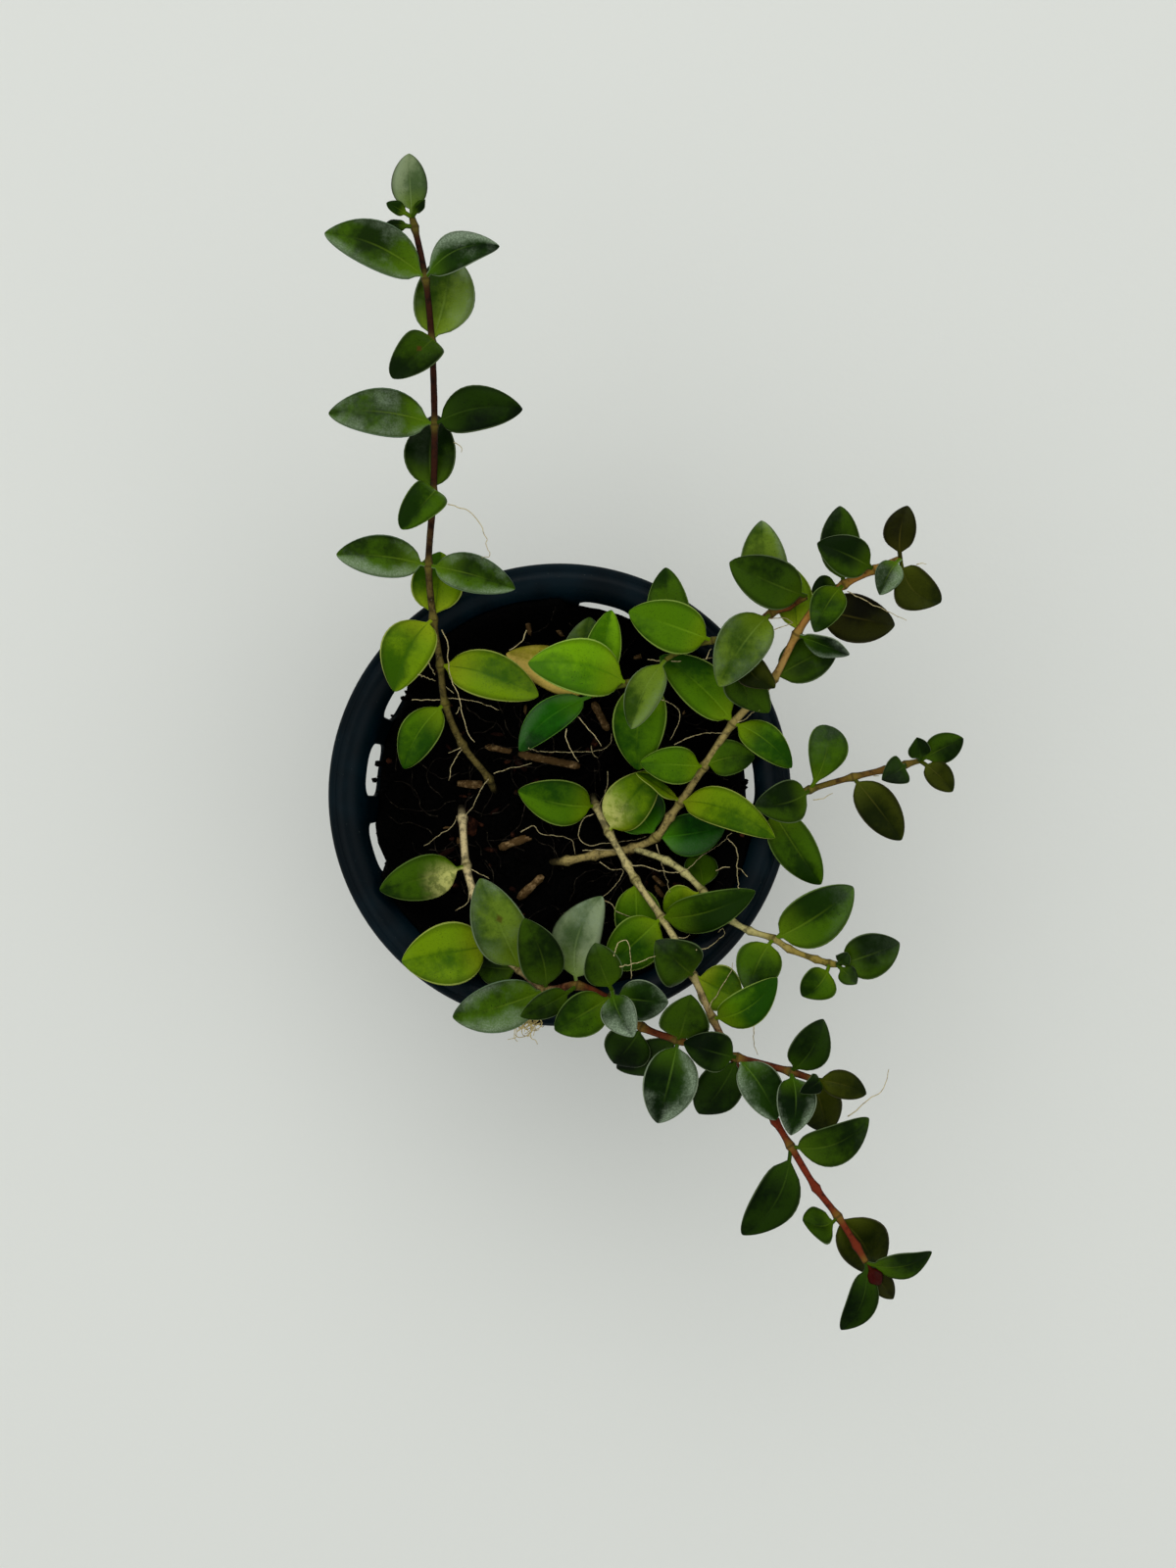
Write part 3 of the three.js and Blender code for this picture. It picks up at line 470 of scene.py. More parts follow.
# %% North stem
add_stem("north", 1.0, [
    (-15.8, -2.5, -30), (-18.0, 4.0, -19.5), (-24.8, 12.8, -13), (-29.2, 23.3, -7),
    (-30.4, 33.0, -1.5), (-32.2, 44.8, 5), (-33.4, 58.4, 9), (-32.2, 76.8, 12.5),
    (-31.9, 94.4, 15.5), (-32.6, 115.5, 18.5), (-34.2, 131.6, 20.5), (-37.0, 144.8, 22),
    (-37.6, 147.2, 22.3),
], [
    free(3, (-39.8, 6.7, -8), 10.2, "bright", bow=1.5),
    free(4, (-5.3, 25.2, -2), 12.2, "lime", arch=2.5, bow=-1.5),
    free(5, (-42.2, 26.3, 8), 13.2, "lime", arch=4.5, bow=1.4),
    leaf(5, (-30.5, 62, 3.5), 13.2, "lime", arch=0, bow=0.4),
    free(6, (-57, 61.3, 11), 10.6, "bright", bow=0.7, look="painted_gleam"),
    free(6, (-11.3, 52.5, 10), 9.7, "grey", arch=2.5, bow=-0.4, look="painted_gleam"),
    free(7, (-40.4, 67.8, 22), 9.4, "green", arch=7, bow=-1.5, form="blunt"),
    leaf(7, (-31.6, 97, 9), 13, "green", arch=0, bow=-1.1, look="deep"),
    free(8, (-59, 97.3, 18.5), 11.9, "green", bow=1.3, look="painted_gleam"),
    free(8, (-9.4, 98.4, 18.5), 11.4, "green", bow=-1.6, look="night"),
    free(9, (-42.7, 106.3, 27), 10, "deep", arch=7, bow=-1.8, hurt=1, form="blunt"),
    leaf(9, (-28, 138, 13), 15, "grey", arch=0, bow=1),
    free(10, (-60, 143.3, 23), 11.9, "grey", arch=2.5, bow=1.8, look="painted_gleam"),
    free(10, (-15.3, 140, 23.5), 9, "green", arch=2.5, bow=-2.4, look="glossy"),
    leaf(11, (-44.7, 145.4, 23), 3, "green", arch=0.5, look="deep"),
    leaf(12, (-44.2, 151, 24.5), 3.4, "green", arch=0.5),
    leaf(12, (-34.3, 151.8, 26), 2.6, "green", arch=0.5, look="deep"),
    leaf(12, (-38.4, 163.6, 25), 8.8, "grey", arch=1, look="silver"),
])

# %% South stem
add_stem("south", 1.15, [
    (-25.2, -2.0, -30), (-24.8, -6.0, -20), (-23.8, -18.2, -12.5), (-21.8, -25.5, -8),
    (-17.5, -38.5, 0), (-10.0, -44.6, 3), (-3.6, -49.7, 5.5), (4.5, -48.6, 6.5),
    (13.0, -52.5, 7), (21.0, -59.2, 8.5), (30.2, -62.6, 11.5), (45.3, -67.0, 13.5),
    (58.8, -70.6, 14.5), (64.9, -72.6, 15.5),
], [
    free(2, (-45.9, -24.3, 1.5), 11.6, "green", petiole=4, arch=1.5, pale=0.9),
    free(4, (-40.3, -42.5, 6), 16.1, "lime", bow=0.3),
    free(5, (-20.3, -21.3, 9), 13.8, "grey", arch=2.5, hurt=0.7),
    leaf(5, (-21.3, -43.8, -3), 9, "deep", arch=0),
    free(6, (-9, -31.5, 13), 11.4, "deep", bow=1.7),
    free(6, (-27.3, -56.8, 6), 12.8, "grey", arch=1.5, bow=-0.6, look="painted_gleam"),
    leaf(7, (-10, -56.6, 13), 6.8, "deep", petiole=4, bow=-0.4),
    free(7, (10.8, -25.8, 5), 12.5, "grey", arch=0.5, bow=-3.2, look="silver"),
    leaf(9, (13.8, -68.4, 1), 12.4, "deep", arch=0, bow=-0.5, look="night"),
    leaf(10, (14.6, -69.7, -3), 9.4, "bronze", arch=0, bow=-0.8, look="night"),
    free(10, (25, -83.8, 13), 13.6, "grey", arch=2.5, look="glossy"),
    free(10, (33.5, -51, 19), 12.5, "deep"),
    leaf(11, (31.6, -63.2, 16), 10, "deep", arch=4, bow=0.3, look="night"),
    leaf(11, (35.5, -81.3, 6), 11.5, "bronze", arch=1, bow=-0.8, look="night"),
    free(11, (55.3, -83, 15), 10.4, "grey", arch=1, bow=-1.2, look="glossy"),
    leaf(12, (59, -86.9, 21), 9.8, "grey", arch=2.5, bow=-1, look="glossy"),
    free(12, (67.3, -57.2, 19), 9.8, "deep", bow=1.1, look="night"),
    leaf(13, (78.3, -76.3, 17), 7.2, "bronze", arch=1.5, bow=-0.9),
    leaf(13, (61.3, -76, 22), 5, "deep", arch=3, look="night"),
    leaf(13, (68.5, -86, 8), 11, "bronze", arch=0),
])

# %% South shoot
add_stem("south_shoot", 0.85, [
    (13.3, -51.3, 11.5), (13.4, -49.9, 15),
], [
    free(0, (-1.3, -60, 13.5), 11, "green", arch=1.5),
    leaf(0, (27.8, -53, 14), 10.4, "grey", arch=1.5, look="glossy"),
    leaf(1, (9, -37.8, 19), 9.6, "deep", arch=1.5, bow=-0.5),
    leaf(1, (18.8, -61.8, 20), 8.8, "grey", arch=2.5, bow=0.7, look="glossy"),
], grows_from=("south", 8))

# %% Southeast stem
add_stem("southeast", 1.05, [
    (8.2, 1.5, -30), (9.3, -2.8, -20.5), (12.6, -9.6, -17), (17.3, -18.0, -13),
    (19.3, -21.6, -11.5), (26.0, -31.3, -5.5), (30.4, -38.6, -0.5), (34.0, -46.0, 4.5),
    (39.0, -57.0, 8), (46.8, -72.0, 10), (55.0, -83.3, 12.5), (58.9, -89.6, 14.5),
    (65.4, -100.3, 16.5), (71.0, -107.6, 18), (75.7, -115.0, 19.5), (78.2, -119.3, 20.5),
], [
    free(1, (-10.6, 1.0, -13), 12.2, "bright", bow=-1.3),
    free(2, (25.2, 6.2, -10.5), 12.6, "lime", arch=2.5, bow=-1.1, pale=0.8),
    leaf(4, (20, -41, -12), 12.4, "bright", arch=0.5),
    free(5, (12, -43.8, -4), 13.3, "bright", arch=2.5),
    free(5, (50, -24.6, 8), 10.2, "green", arch=2.5, bow=1.5),
    leaf(7, (24.5, -37.2, 11), 13, "deep", arch=4),
    leaf(7, (46.5, -52.5, 6), 12, "lime", arch=0.5),
    free(8, (55.6, -46.7, 15), 9.6, "bright", arch=2.5, bow=2),
    free(11, (79, -82.5, 17.5), 10.2, "deep", bow=2.6),
    free(11, (46.6, -112.3, 15), 11.2, "green", petiole=4, bow=-2.9, look="night"),
    leaf(13, (62, -108.6, 19), 11, "deep", arch=1.5, bow=-1.8, roll=50),
    leaf(13, (81, -122, 12), 13, "green", arch=0, bow=-1.3, look="bronze"),
    leaf(15, (95, -116.6, 22), 7, "deep", bow=1.5, roll=15),
    leaf(15, (71.8, -136.5, 20), 7.8, "green", bow=-1.8, look="night"),
    leaf(15, (81.8, -125, 22), 4.2, "red", arch=0, thick=2.4),
    leaf(15, (85.1, -128.6, 20.5), 5.6, "bronze", arch=0.5, look="dusk"),
])
# %% Northeast stem
add_stem("northeast", 1.15, [
    (-5.5, -17.5, -29), (2.0, -16.8, -21.5), (9.0, -15.4, -20.2), (18.6, -13.6, -18.5),
    (24.6, -10.8, -15.5), (28.2, -5.6, -12.5), (30.9, -1.9, -10), (36.8, 7.2, -5.5),
    (44.3, 18.3, 2), (49.0, 23.4, 5.5), (54.6, 29.6, 9), (60.5, 41.0, 12.5),
    (65.2, 47.6, 15), (72.5, 53.6, 17.5), (80.3, 57.4, 19.5), (87.0, 60.2, 21.5),
], [
    leaf(4, (42.4, -8, -15), 11.6, "deep", arch=0.5, bow=0.5, look="emerald"),
    leaf(4, (16.8, 2.5, -19.5), 14, "deep", arch=0, bow=-0.5, look="emerald"),
    free(6, (55, -11, 6), 10, "lime", arch=3, bow=-2.4),
    leaf(6, (19.5, 5.5, -6), 5, "lime", arch=1, roll=50),
    free(7, (20.5, 8.2, -1), 9.8, "bright", arch=2.5),
    leaf(7, (49.8, 9.8, 0), 9.4, "green", arch=1, bow=-1),
    free(8, (59.3, 6.9, 6), 8.6, "bright", arch=2.5, bow=-1.3),
    free(8, (25.6, 35.4, 4), 12, "bright", arch=1.5, bow=1.1),
    free(10, (71, 38, 8), 11.5, "green", arch=0.5, bow=-0.4, fold=0, roll=-12, look="deep"),
    leaf(11, (74, 35.8, 14), 9, "grey", roll=62, look="glossy"),
    leaf(11, (57, 59.5, 6), 9.5, "lime", arch=0, bow=0.8),
    free(12, (85.5, 43.2, 12), 12.2, "bronze", arch=0.5, bow=0.3, look="dusk"),
    leaf(13, (65, 41.5, 19.5), 8.6, "green", arch=3, bow=1.1),
    leaf(13, (64.3, 51.8, 15), 7, "deep", arch=0),
    leaf(13, (71.5, 73.7, 18), 10.2, "deep", arch=0, bow=-0.5),
    free(14, (65.7, 64.2, 22.5), 10.2, "deep", arch=2.5),
    leaf(15, (81.6, 51, 23), 6.8, "deep", arch=2.5, bow=0.9, look="painted_gleam"),
    leaf(15, (97.2, 49, 19), 10.6, "bronze", arch=1, bow=3.2),
    leaf(15, (88.7, 73.8, 24), 8, "bronze", bow=-1.3, look="dusk"),
])

# %% Lower east stem
add_stem("lower_east", 0.95, [
    (27.3, -16.8, -12.5), (32.0, -20.0, -9.5), (36.6, -24.6, -6), (43.5, -31.8, 2),
    (48.5, -34.7, 3.5), (54.6, -36.7, 6), (58.5, -39.3, 7), (65.5, -42.0, 8.5),
    (68.8, -43.0, 9.2), (70.8, -43.3, 9.8),
], [
    leaf(2, (34.5, -14.5, -17), 9, "deep", arch=0, bow=0.5),
    leaf(2, (26.6, -29.6, -9.5), 9.6, "lime", arch=0.5),
    free(5, (48, -50.5, 9), 11.8, "green", arch=2, bow=1.2),
    free(5, (75, -23.5, 9), 13.6, "green", bow=0.8),
    leaf(8, (61.8, -51.4, 10), 9, "green", arch=3, bow=-0.9),
    leaf(9, (86.8, -37.8, 13), 11.4, "deep"),
    leaf(9, (73.5, -40.3, 14), 4, "deep", arch=0.5, look="night"),
    leaf(9, (75.8, -48.3, 13), 5, "deep", arch=1),
], grows_from=("northeast", 3))

# %% East stem
add_stem("east", 0.95, [
    (40.0, -4.2, -7), (47.0, -4.0, -2.5), (53.5, -2.8, 3), (63.8, 1.3, 6.5),
    (74.8, 4.5, 9), (83.0, 6.4, 10.5), (88.2, 7.7, 11.5), (91.8, 8.7, 12),
], [
    free(2, (66.7, -22.9, 2), 11, "green", arch=1, bow=0.4, fold=4),
    free(3, (68.8, 17.7, 9), 10.2, "green", arch=3, bow=0.9, form="spoon"),
    leaf(3, (49.8, -3, 11), 10.9, "bright", arch=3, bow=-1.3, look="deep"),
    free(4, (87.2, -11.6, 9), 10, "bronze"),
    leaf(6, (82.2, 3.8, 14), 7.5, "deep", arch=3, fold=20, form="heart", look="night"),
    leaf(7, (103, 14.4, 14), 7.6, "deep", arch=1.5, bow=-0.3),
    leaf(7, (91.2, 14.6, 17), 5.6, "deep", arch=1, look="night"),
    leaf(7, (100.3, 0.8, 13.5), 6.6, "bronze", arch=1.5, bow=-0.3),
], grows_from=("northeast", 6))

# %% Soil shoot
add_stem("soil_shoot", 0.9, [
    (38.0, 25.0, -1.5), (28.0, 30.5, -2.5), (23.0, 30.4, -2), (17.0, 28.4, -1),
    (8.0, 25.2, -1.5),
], [
    free(2, (20, 6.3, -4), 13.8, "bright", arch=1.5, bow=1.5),
    free(3, (-8.1, 33.6, 6), 14.3, "bright", arch=3.5, bow=2.1, look="fresh"),
    leaf(4, (13.2, 47.2, -1), 9.6, "green", arch=0.5, look="fresh"),
    leaf(4, (7.6, 45.3, -5), 12, "grey", arch=0, bow=-1.5),
    leaf(4, (-13.6, 36, -6), 11, "yellow", arch=0, bow=2),
    free(4, (-10.3, 11.2, -8), 9, "bright", arch=2.5, bow=2, look="emerald"),
], grows_from=("northeast", 8))

# %% Top shoot
add_stem("top_shoot", 1.0, [
    (50.5, 31.8, 9.8), (48.5, 37.0, 10.5), (50.5, 43.5, 11.5), (54.0, 46.3, 12.5),
    (58.3, 48.0, 13.5), (63.0, 50.6, 14.5),
], [
    leaf(1, (54.9, 27.2, 14), 8, "bronze", arch=1.5, bow=3),
    leaf(1, (53.2, 20.8, 10.5), 11, "deep", arch=0.5, bow=4),
    free(3, (40.6, 27.6, 16), 12.8, "grey", arch=3, bow=1.3),
    free(3, (51.5, 70, 13), 12, "grey", arch=0, bow=-0.8),
    free(5, (43.3, 59.3, 18.5), 12.7, "green", arch=2.5, bow=-0.9, look="deep"),
], grows_from=("northeast", 10))

# %% Rim shoot
add_stem("rim_shoot", 0.85, [
    (43.5, 39.8, 10.8), (38.9, 39.3, 11), (31.0, 36.8, 9.5), (27.0, 34.4, 9),
], [
    free(1, (17.6, 46.7, 14), 12.9, "bright"),
    leaf(2, (27, 58, 8.5), 10.8, "green", arch=0, bow=-1.3),
    leaf(3, (18.2, 16.8, 8), 9.2, "green", arch=1.5, bow=1.4, look="grey"),
], grows_from=("top_shoot", 1))
print(len(STEMS), "stems and", sum(len(row["leaves"]) for row in STEMS), "leaves in all")

# %% [markdown]
# A stem follows a smooth curve through its places. A Bezier curve would need handles that nobody
# measured. A Catmull-Rom spline needs only the places, and with its knots spaced by the root of
# the distance it doesn't loop where places lie close together. It is cut into short steps.

# %% Smooth paths
def smooth_path(places, step):
    """Points along the curve, about a step apart."""
    padded = [places[0] * 2 - places[1], *places, places[-1] * 2 - places[-2]]
    made = []
    for i in range(len(places) - 1):
        p0, p1, p2, p3 = padded[i:i + 4]
        knots = [0.0]
        for before, after in ((p0, p1), (p1, p2), (p2, p3)):
            knots.append(knots[-1] + max(1e-5, (after - before).length) ** 0.5)
        t0, t1, t2, t3 = knots
        count = max(2, round((p2 - p1).length / step))
        for k in range(count):
            t = t1 + (t2 - t1) * k / count
            a = p0.lerp(p1, (t - t0) / (t1 - t0))
            b = p1.lerp(p2, (t - t1) / (t2 - t1))
            c = p2.lerp(p3, (t - t2) / (t3 - t2))
            ab = a.lerp(b, (t - t0) / (t2 - t0))
            bc = b.lerp(c, (t - t1) / (t3 - t1))
            made.append(ab.lerp(bc, (t - t1) / (t2 - t1)))
    made.append(places[-1])
    return made


def ring_frames(points):
    """A side and an up direction at each point, turning as little as possible along the way."""
    ahead = [after - before for before, after in zip(points, points[1:])]
    ahead.append(ahead[-1])
    side = ahead[0].orthogonal().normalized()
    made = []
    for heading in ahead:
        heading = heading.normalized()
        side = (side - heading * side.dot(heading)).normalized()
        made.append((side, heading.cross(side)))
    return made


def round_rings(shape, points, radii, sides, spots=None):
    """Rings of a round stem or root. radii and spots have an entry for each point."""
    spots = spots or [PLAIN] * len(points)
    rings = []
    for point, (side, up), radius, spot in zip(points, ring_frames(points), radii, spots):
        outward = [side * math.cos(angle) + up * math.sin(angle) for angle in full_turn(sides)]
        rings.append([shape.add(point + out * radius, spot) for out in outward])
    return rings


trial_path = smooth_path([place(*spot) for spot in STEMS[0]["path"]], MM)
print("the north stem's path, cut into millimetres, has", len(trial_path), "points")

# %% [markdown]
# A leaf could be a flat sheet with a picture of a leaf on it, but these are a millimetre thick.
# So each is a closed lens. Its section has a sharp margin, a groove along the midrib above, a
# keel below it, and two halves that bulge a little, as thick leaves do. The outline is a product
# of two powers: the first opens it at the stalk, and the second closes it in a short point.

# %% One leaf
LEAF_RINGS = 22
# How far from the midrib the points of the section lie, as a share of the half width.
HALF_SECTION = (0.05, 0.13, 0.28, 0.46, 0.66, 0.84, 0.95, 1)
UPPER = (*[-v for v in reversed(HALF_SECTION)], 0, *HALF_SECTION)
LOWER = (0.9, 0.6, 0.3, 0.1, 0, -0.1, -0.3, -0.6, -0.9)
SECTION = [(v, 1) for v in UPPER] + [(v, -1) for v in LOWER]
FORMS = {"oval": (0.52, 0.72), "blunt": (0.52, 0.5), "spoon": (1.05, 0.48), "heart": (0.36, 0.72)}
STALK_RADIUS = 0.55
GROOVE = 0.16
GROOVE_SPREAD = 0.14
KEEL = 0.35
KEEL_SPREAD = 0.3
BULGE = 0.16
UNDERSIDE = 0.8
WAVE = 0.4
WAVE_PACE = (0.8, 1.5)
SKEW = 0.06
BLADE_FROM = 0.12
TIP_THINNING = 0.6
FULLNESS = 2.4
CREASE = 0.12
CREASE_DEPTH = 0.346


def outline(share, form):
    """Half width of a blade along its length, 1 at the widest."""
    base_power, tip_power = FORMS[form]

    def rise(x):
        return x ** base_power * (1 - x) ** tip_power
    return rise(min(max(share, 0.0), 1.0)) / rise(base_power / (base_power + tip_power))


def grow_leaf(shape, row, base, chance, finish):
    tip = place(*row["tip"])
    chord = tip - base
    along = chord.normalized()
    side = along.cross(Vector((0, 0, 1))).normalized()
    lift = side.cross(along)
    turn = Matrix.Rotation(math.radians(row["roll"]), 3, along)
    across, up = turn @ side, turn @ lift
    stalk = row["petiole"] * MM / chord.length
    half = row["width"] / 2
    fold = math.sin(math.radians(row["fold"]))
    skew = chance.uniform(-SKEW, SKEW)
    waves = [(chance.uniform(*WAVE_PACE), chance.random()) for _ in range(2)]
    kind = (chance.random(), row["pale"], row["hurt"])
    rings = []
    for ring in range(LEAF_RINGS):
        t = (1 - math.cos(math.pi * (ring + 0.2) / LEAF_RINGS)) / 2
        share = max(0.0, (t - stalk) / (1 - stalk))
        wide = max(STALK_RADIUS * (1 - share), half * outline(share, row["form"]))
        flat = min(1.0, share / BLADE_FROM)
        blade = row["thick"] / 2 * flat * (1 - TIP_THINNING * share ** 6)
        thick = STALK_RADIUS * (1 - flat) + blade
        middle = base + chord * t
        middle += lift * (4 * row["arch"] * MM * t * (1 - t))
        middle += side * (4 * row["bow"] * MM * t * (1 - t))
        made = []
        for v, face in SECTION:
            pace, phase = waves[v > 0]
            lens = thick * (1 - abs(v) ** FULLNESS) ** 0.5
            rise = fold * wide * (math.sqrt(v * v + CREASE) - CREASE_DEPTH)
            rise += flat * WAVE * math.sin(2 * math.pi * (pace * share + phase)) * v * v * wide / half
            rise += flat * BULGE * math.sin(math.pi * abs(v)) * wide / half
            from_rib = (v * wide) ** 2
            if face > 0:
                rise += lens - flat * GROOVE * math.exp(-from_rib / GROOVE_SPREAD) * (1 - share)
            else:
                rise -= lens * UNDERSIDE + flat * KEEL * math.exp(-from_rib / KEEL_SPREAD) * (1 - share)
            reach = v * wide * (1 + skew * (1 if v > 0 else -1))
            point = middle + (across * reach + up * rise) * MM
            made.append(shape.add(point, (share, v, float(face < 0)), kind))
        rings.append(made)
    shape.skin(rings, finish)


for form in FORMS:
    print(form, "leaf, width along it:", [round(outline(k / 8, form), 2) for k in range(1, 8)])

# %% [markdown]
# A stem is a round tube with swollen nodes, a narrow raised ring at each node and a skin that is
# never quite even. A bevelled curve would keep one plain section, so the rings are given their
# radius one by one. It shrinks toward the tip. A side shoot starts inside the node that it grows
# from. The leaves that stand free become pieces of their own, and the rest grow in one piece with
# their stem, as the frame has them.

# %% Stems and leaves
STEM_SIDES = 12
STEM_STEP = 1.1 * MM
# How much a node swells, and over how many millimetres, then the same of the narrow ring on it.
SWELL, SWELL_REACH = 0.38, 1.3
RING, RING_REACH = 0.14, 0.45
GREEN_REACH = 1.6
FOOT_SHARE = 0.94
TAPER = 0.18
UNEVEN = 0.06
BURIED_FROM = -21.5


def bell(point, places, reach):
    """1 at each of these places and nearly 0 beyond twice the reach, which is in mm."""
    near = min((point - spot).length for spot in places) / MM
    return math.exp(-((near / reach) ** 2))


def grow_stem(shape, row, start, seed):
    places = [place(*spot) for spot in row["path"]]
    offset = 0
    if start:
        places.insert(0, start)
        offset = 1
    knees = places[1:-1] or places
    leafy = [places[entry["node"] + offset] for entry in row["leaves"]]
    points = smooth_path(places, STEM_STEP)
    radii, spots = [], []
    for i, point in enumerate(points):
        age = i / (len(points) - 1)
        swell = SWELL * bell(point, knees, SWELL_REACH) + RING * bell(point, knees, RING_REACH)
        uneven = UNEVEN * noise.noise(point * 450 + Vector((seed, 0, 0)))
        radii.append(row["radius"] * MM * (FOOT_SHARE - TAPER * age) * (1 + swell + uneven))
        buried = min(1.0, max(0.0, (BURIED_FROM - seen(point)[2]) / 2))
        spots.append((age, bell(point, leafy, GREEN_REACH), buried))
    shape.skin(round_rings(shape, points, radii, STEM_SIDES, spots), 0)
    return places, offset, points


LOOKS = list(LEAF_FINISHES)
grown = {}
plant_pieces = []
for number, row in enumerate(STEMS):
    chance = random.Random(100 + number)
    start = None
    if row["grows_from"]:
        parent, node = row["grows_from"]
        places, offset, _ = grown[parent]
        start = places[node + offset]
    stem = Shape()
    grown[row["name"]] = grow_stem(stem, row, start, number)
    places, offset, _ = grown[row["name"]]
    for index, entry in enumerate(row["leaves"]):
        base = places[entry["node"] + offset]
        if entry["free"]:
            name = f"{row['name']}_leaf_{index + 1:02d}"
            blade = Shape()
            grow_leaf(blade, entry, base, chance, 0)
            piece = build(f"{name}_blade", blade, [LEAF_FINISHES[entry["look"]]])
            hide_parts(name)
            plant_pieces.append(piece)
        else:
            grow_leaf(stem, entry, base, chance, 1 + LOOKS.index(entry["look"]))
    finishes = [STEM_FINISHES[row["name"]], *LEAF_FINISHES.values()]
    piece = build(f"{row['name']}_stem_grown", stem, finishes)
    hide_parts(f"{row['name']}_stem")
    "young_stem" if row["name"] in YOUNG_STEMS else "old_stem"
    plant_pieces.append(piece)
print(len(plant_pieces), "pieces of the plant")

# %% [markdown]
# The pot is a thin plastic nursery pot with a rolled rim, a groove near the rim's edge, a short
# skirt outside and slots in its wall. It could be built of boxes and tubes, but a moulded pot is
# one skin. So its profile is turned round the axis, and the slots and drains are then cut
# through it. The frame's pot has fewer sides, so this one, with many more, takes its place.

# %% Pot sizes
BASE_RADIUS = 42.5
RIM_RADIUS = 59.25
MOUTH_RADIUS = 51.0
WALL = 1.0
FLOOR = 1.6
RIM_DEPTH = 5.0
SKIRT_HEIGHT = 9.0
SKIRT_INSET = 1.3
POT_SIDES = 240
SHARP_FROM = 40
SLOT_COUNT = 15
SLOT_WIDTH = 13.7
SLOT_HEIGHT = 17.0
SLOT_CORNER = 4.0
SLOT_TOP = 6.5
SLOT_FROM = BASE_RADIUS + 1.5
SLOT_REACH = 12.0
FIRST_SLOT = 4.5
DRAIN_COUNT = 4
DRAIN_RADIUS = 4.0
DRAIN_CIRCLE = 30.0
DRAIN_REACH = 6.0
DRAIN_SIDES = 24


def wall_radius(z):
    inner = BASE_RADIUS - WALL
    return inner + (MOUTH_RADIUS - inner) * z / POT_HEIGHT


print("the wall leans out by", round(wall_radius(POT_HEIGHT) - wall_radius(0), 2), "mm")

# %% Pot profile
# The rolled edge, from outside to inside: how far in from the rim and how far down from the top.
RIM_STEPS = (
    (0.0, 1.8), (0.25, 1.1), (0.8, 0.75), (1.5, 0.85), (1.9, 1.0), (2.3, 0.7), (3.0, 0.2), (4.0, 0.0),
    (5.2, 0.25), (6.5, 0.9), (7.4, 2.0),
)


def pot_profile():
    top = POT_HEIGHT
    under = top - RIM_DEPTH
    hem = top - SKIRT_HEIGHT
    skirt = RIM_RADIUS - SKIRT_INSET
    foot = [
        (0.0, 0.6), (BASE_RADIUS - 4.0, 0.6), (BASE_RADIUS - 3.4, 0.0), (BASE_RADIUS - 1.2, 0.0),
        (BASE_RADIUS - 0.3, 0.3), (BASE_RADIUS, 1.2),
    ]
    outside = [(wall_radius(z) + WALL, z) for z in (30.0, 60.0, under)]
    skirt_hem = [
        (skirt, under), (skirt, hem + 0.3), (skirt + 0.4, hem), (RIM_RADIUS - 0.3, hem),
        (RIM_RADIUS, hem + 0.4),
    ]
    rim = [(RIM_RADIUS - inward, top - down) for inward, down in RIM_STEPS]
    inside = [
        (wall_radius(top - 3), top - 3.4), (wall_radius(60), 60.0), (wall_radius(30), 30.0),
        (wall_radius(FLOOR) - 0.2, FLOOR + 0.8), (wall_radius(FLOOR) - 1.2, FLOOR), (0.0, FLOOR),
    ]
    return foot + outside + skirt_hem + rim + inside


def turned(profile, sides):
    """The skin of a profile that is turned round the axis. It closes where the radius is 0."""
    shape = Shape()
    rings = []
    for radius, z in profile:
        if radius == 0.0:
            rings.append([shape.add(around(0.0, 0.0, z))] * sides)
        else:
            rings.append([shape.add(around(radius, angle, z)) for angle in full_turn(sides)])
    for ring, after in zip(rings, rings[1:]):
        for i in range(sides):
            j = (i + 1) % sides
            shape.face(list(dict.fromkeys((ring[i], ring[j], after[j], after[i]))), 0)
    return shape


shell = turned(pot_profile(), POT_SIDES)
print("the turned pot has", len(shell.points), "points")

# %% Cutting slots and drains
def cut_through(piece, cutters):
    """Cuts every cutter out of the piece and throws the cutters away."""
    for cutter in cutters:
        cut = piece.modifiers.new("cut", "BOOLEAN")
        cut.operation = "DIFFERENCE"
        cut.solver = "EXACT"
        cut.object = cutter
    view = bpy.context.evaluated_depsgraph_get()
    mesh = bpy.data.meshes.new_from_object(piece.evaluated_get(view))
    piece.modifiers.clear()
    piece.data = mesh
    for cutter in cutters:
        bpy.data.objects.remove(cutter)


def prism(corners, depth):
    """A straight prism along +Y with these x and z corners, in millimetres, as an object."""
    form = bmesh.new()
    bottom = [form.verts.new((x * MM, 0.0, z * MM)) for x, z in corners]
    face = form.faces.new(bottom)
    grown_faces = bmesh.ops.extrude_face_region(form, geom=[face])["geom"]
    moved = [part for part in grown_faces if isinstance(part, bmesh.types.BMVert)]
    bmesh.ops.translate(form, verts=moved, vec=(0.0, depth * MM, 0.0))
    bmesh.ops.recalc_face_normals(form, faces=form.faces)
    mesh = bpy.data.meshes.new("cutter")
    form.to_mesh(mesh)
    form.free()
    cutter = bpy.data.objects.new("cutter", mesh)
    bpy.context.collection.objects.link(cutter)
    return cutter


def rounded_box(width, height, corner, steps=6):
    corners = []
    for quarter, (sx, sz) in enumerate(((1, 1), (-1, 1), (-1, -1), (1, -1))):
        for k in range(steps + 1):
            angle = math.pi / 2 * (quarter + k / steps)
            x = sx * (width / 2 - corner) + corner * math.cos(angle)
            z = sz * (height / 2 - corner) + corner * math.sin(angle)
            corners.append((x, z))
    return corners


slot = rounded_box(SLOT_WIDTH, SLOT_HEIGHT, SLOT_CORNER)
print("a slot's outline has", len(slot), "corners")

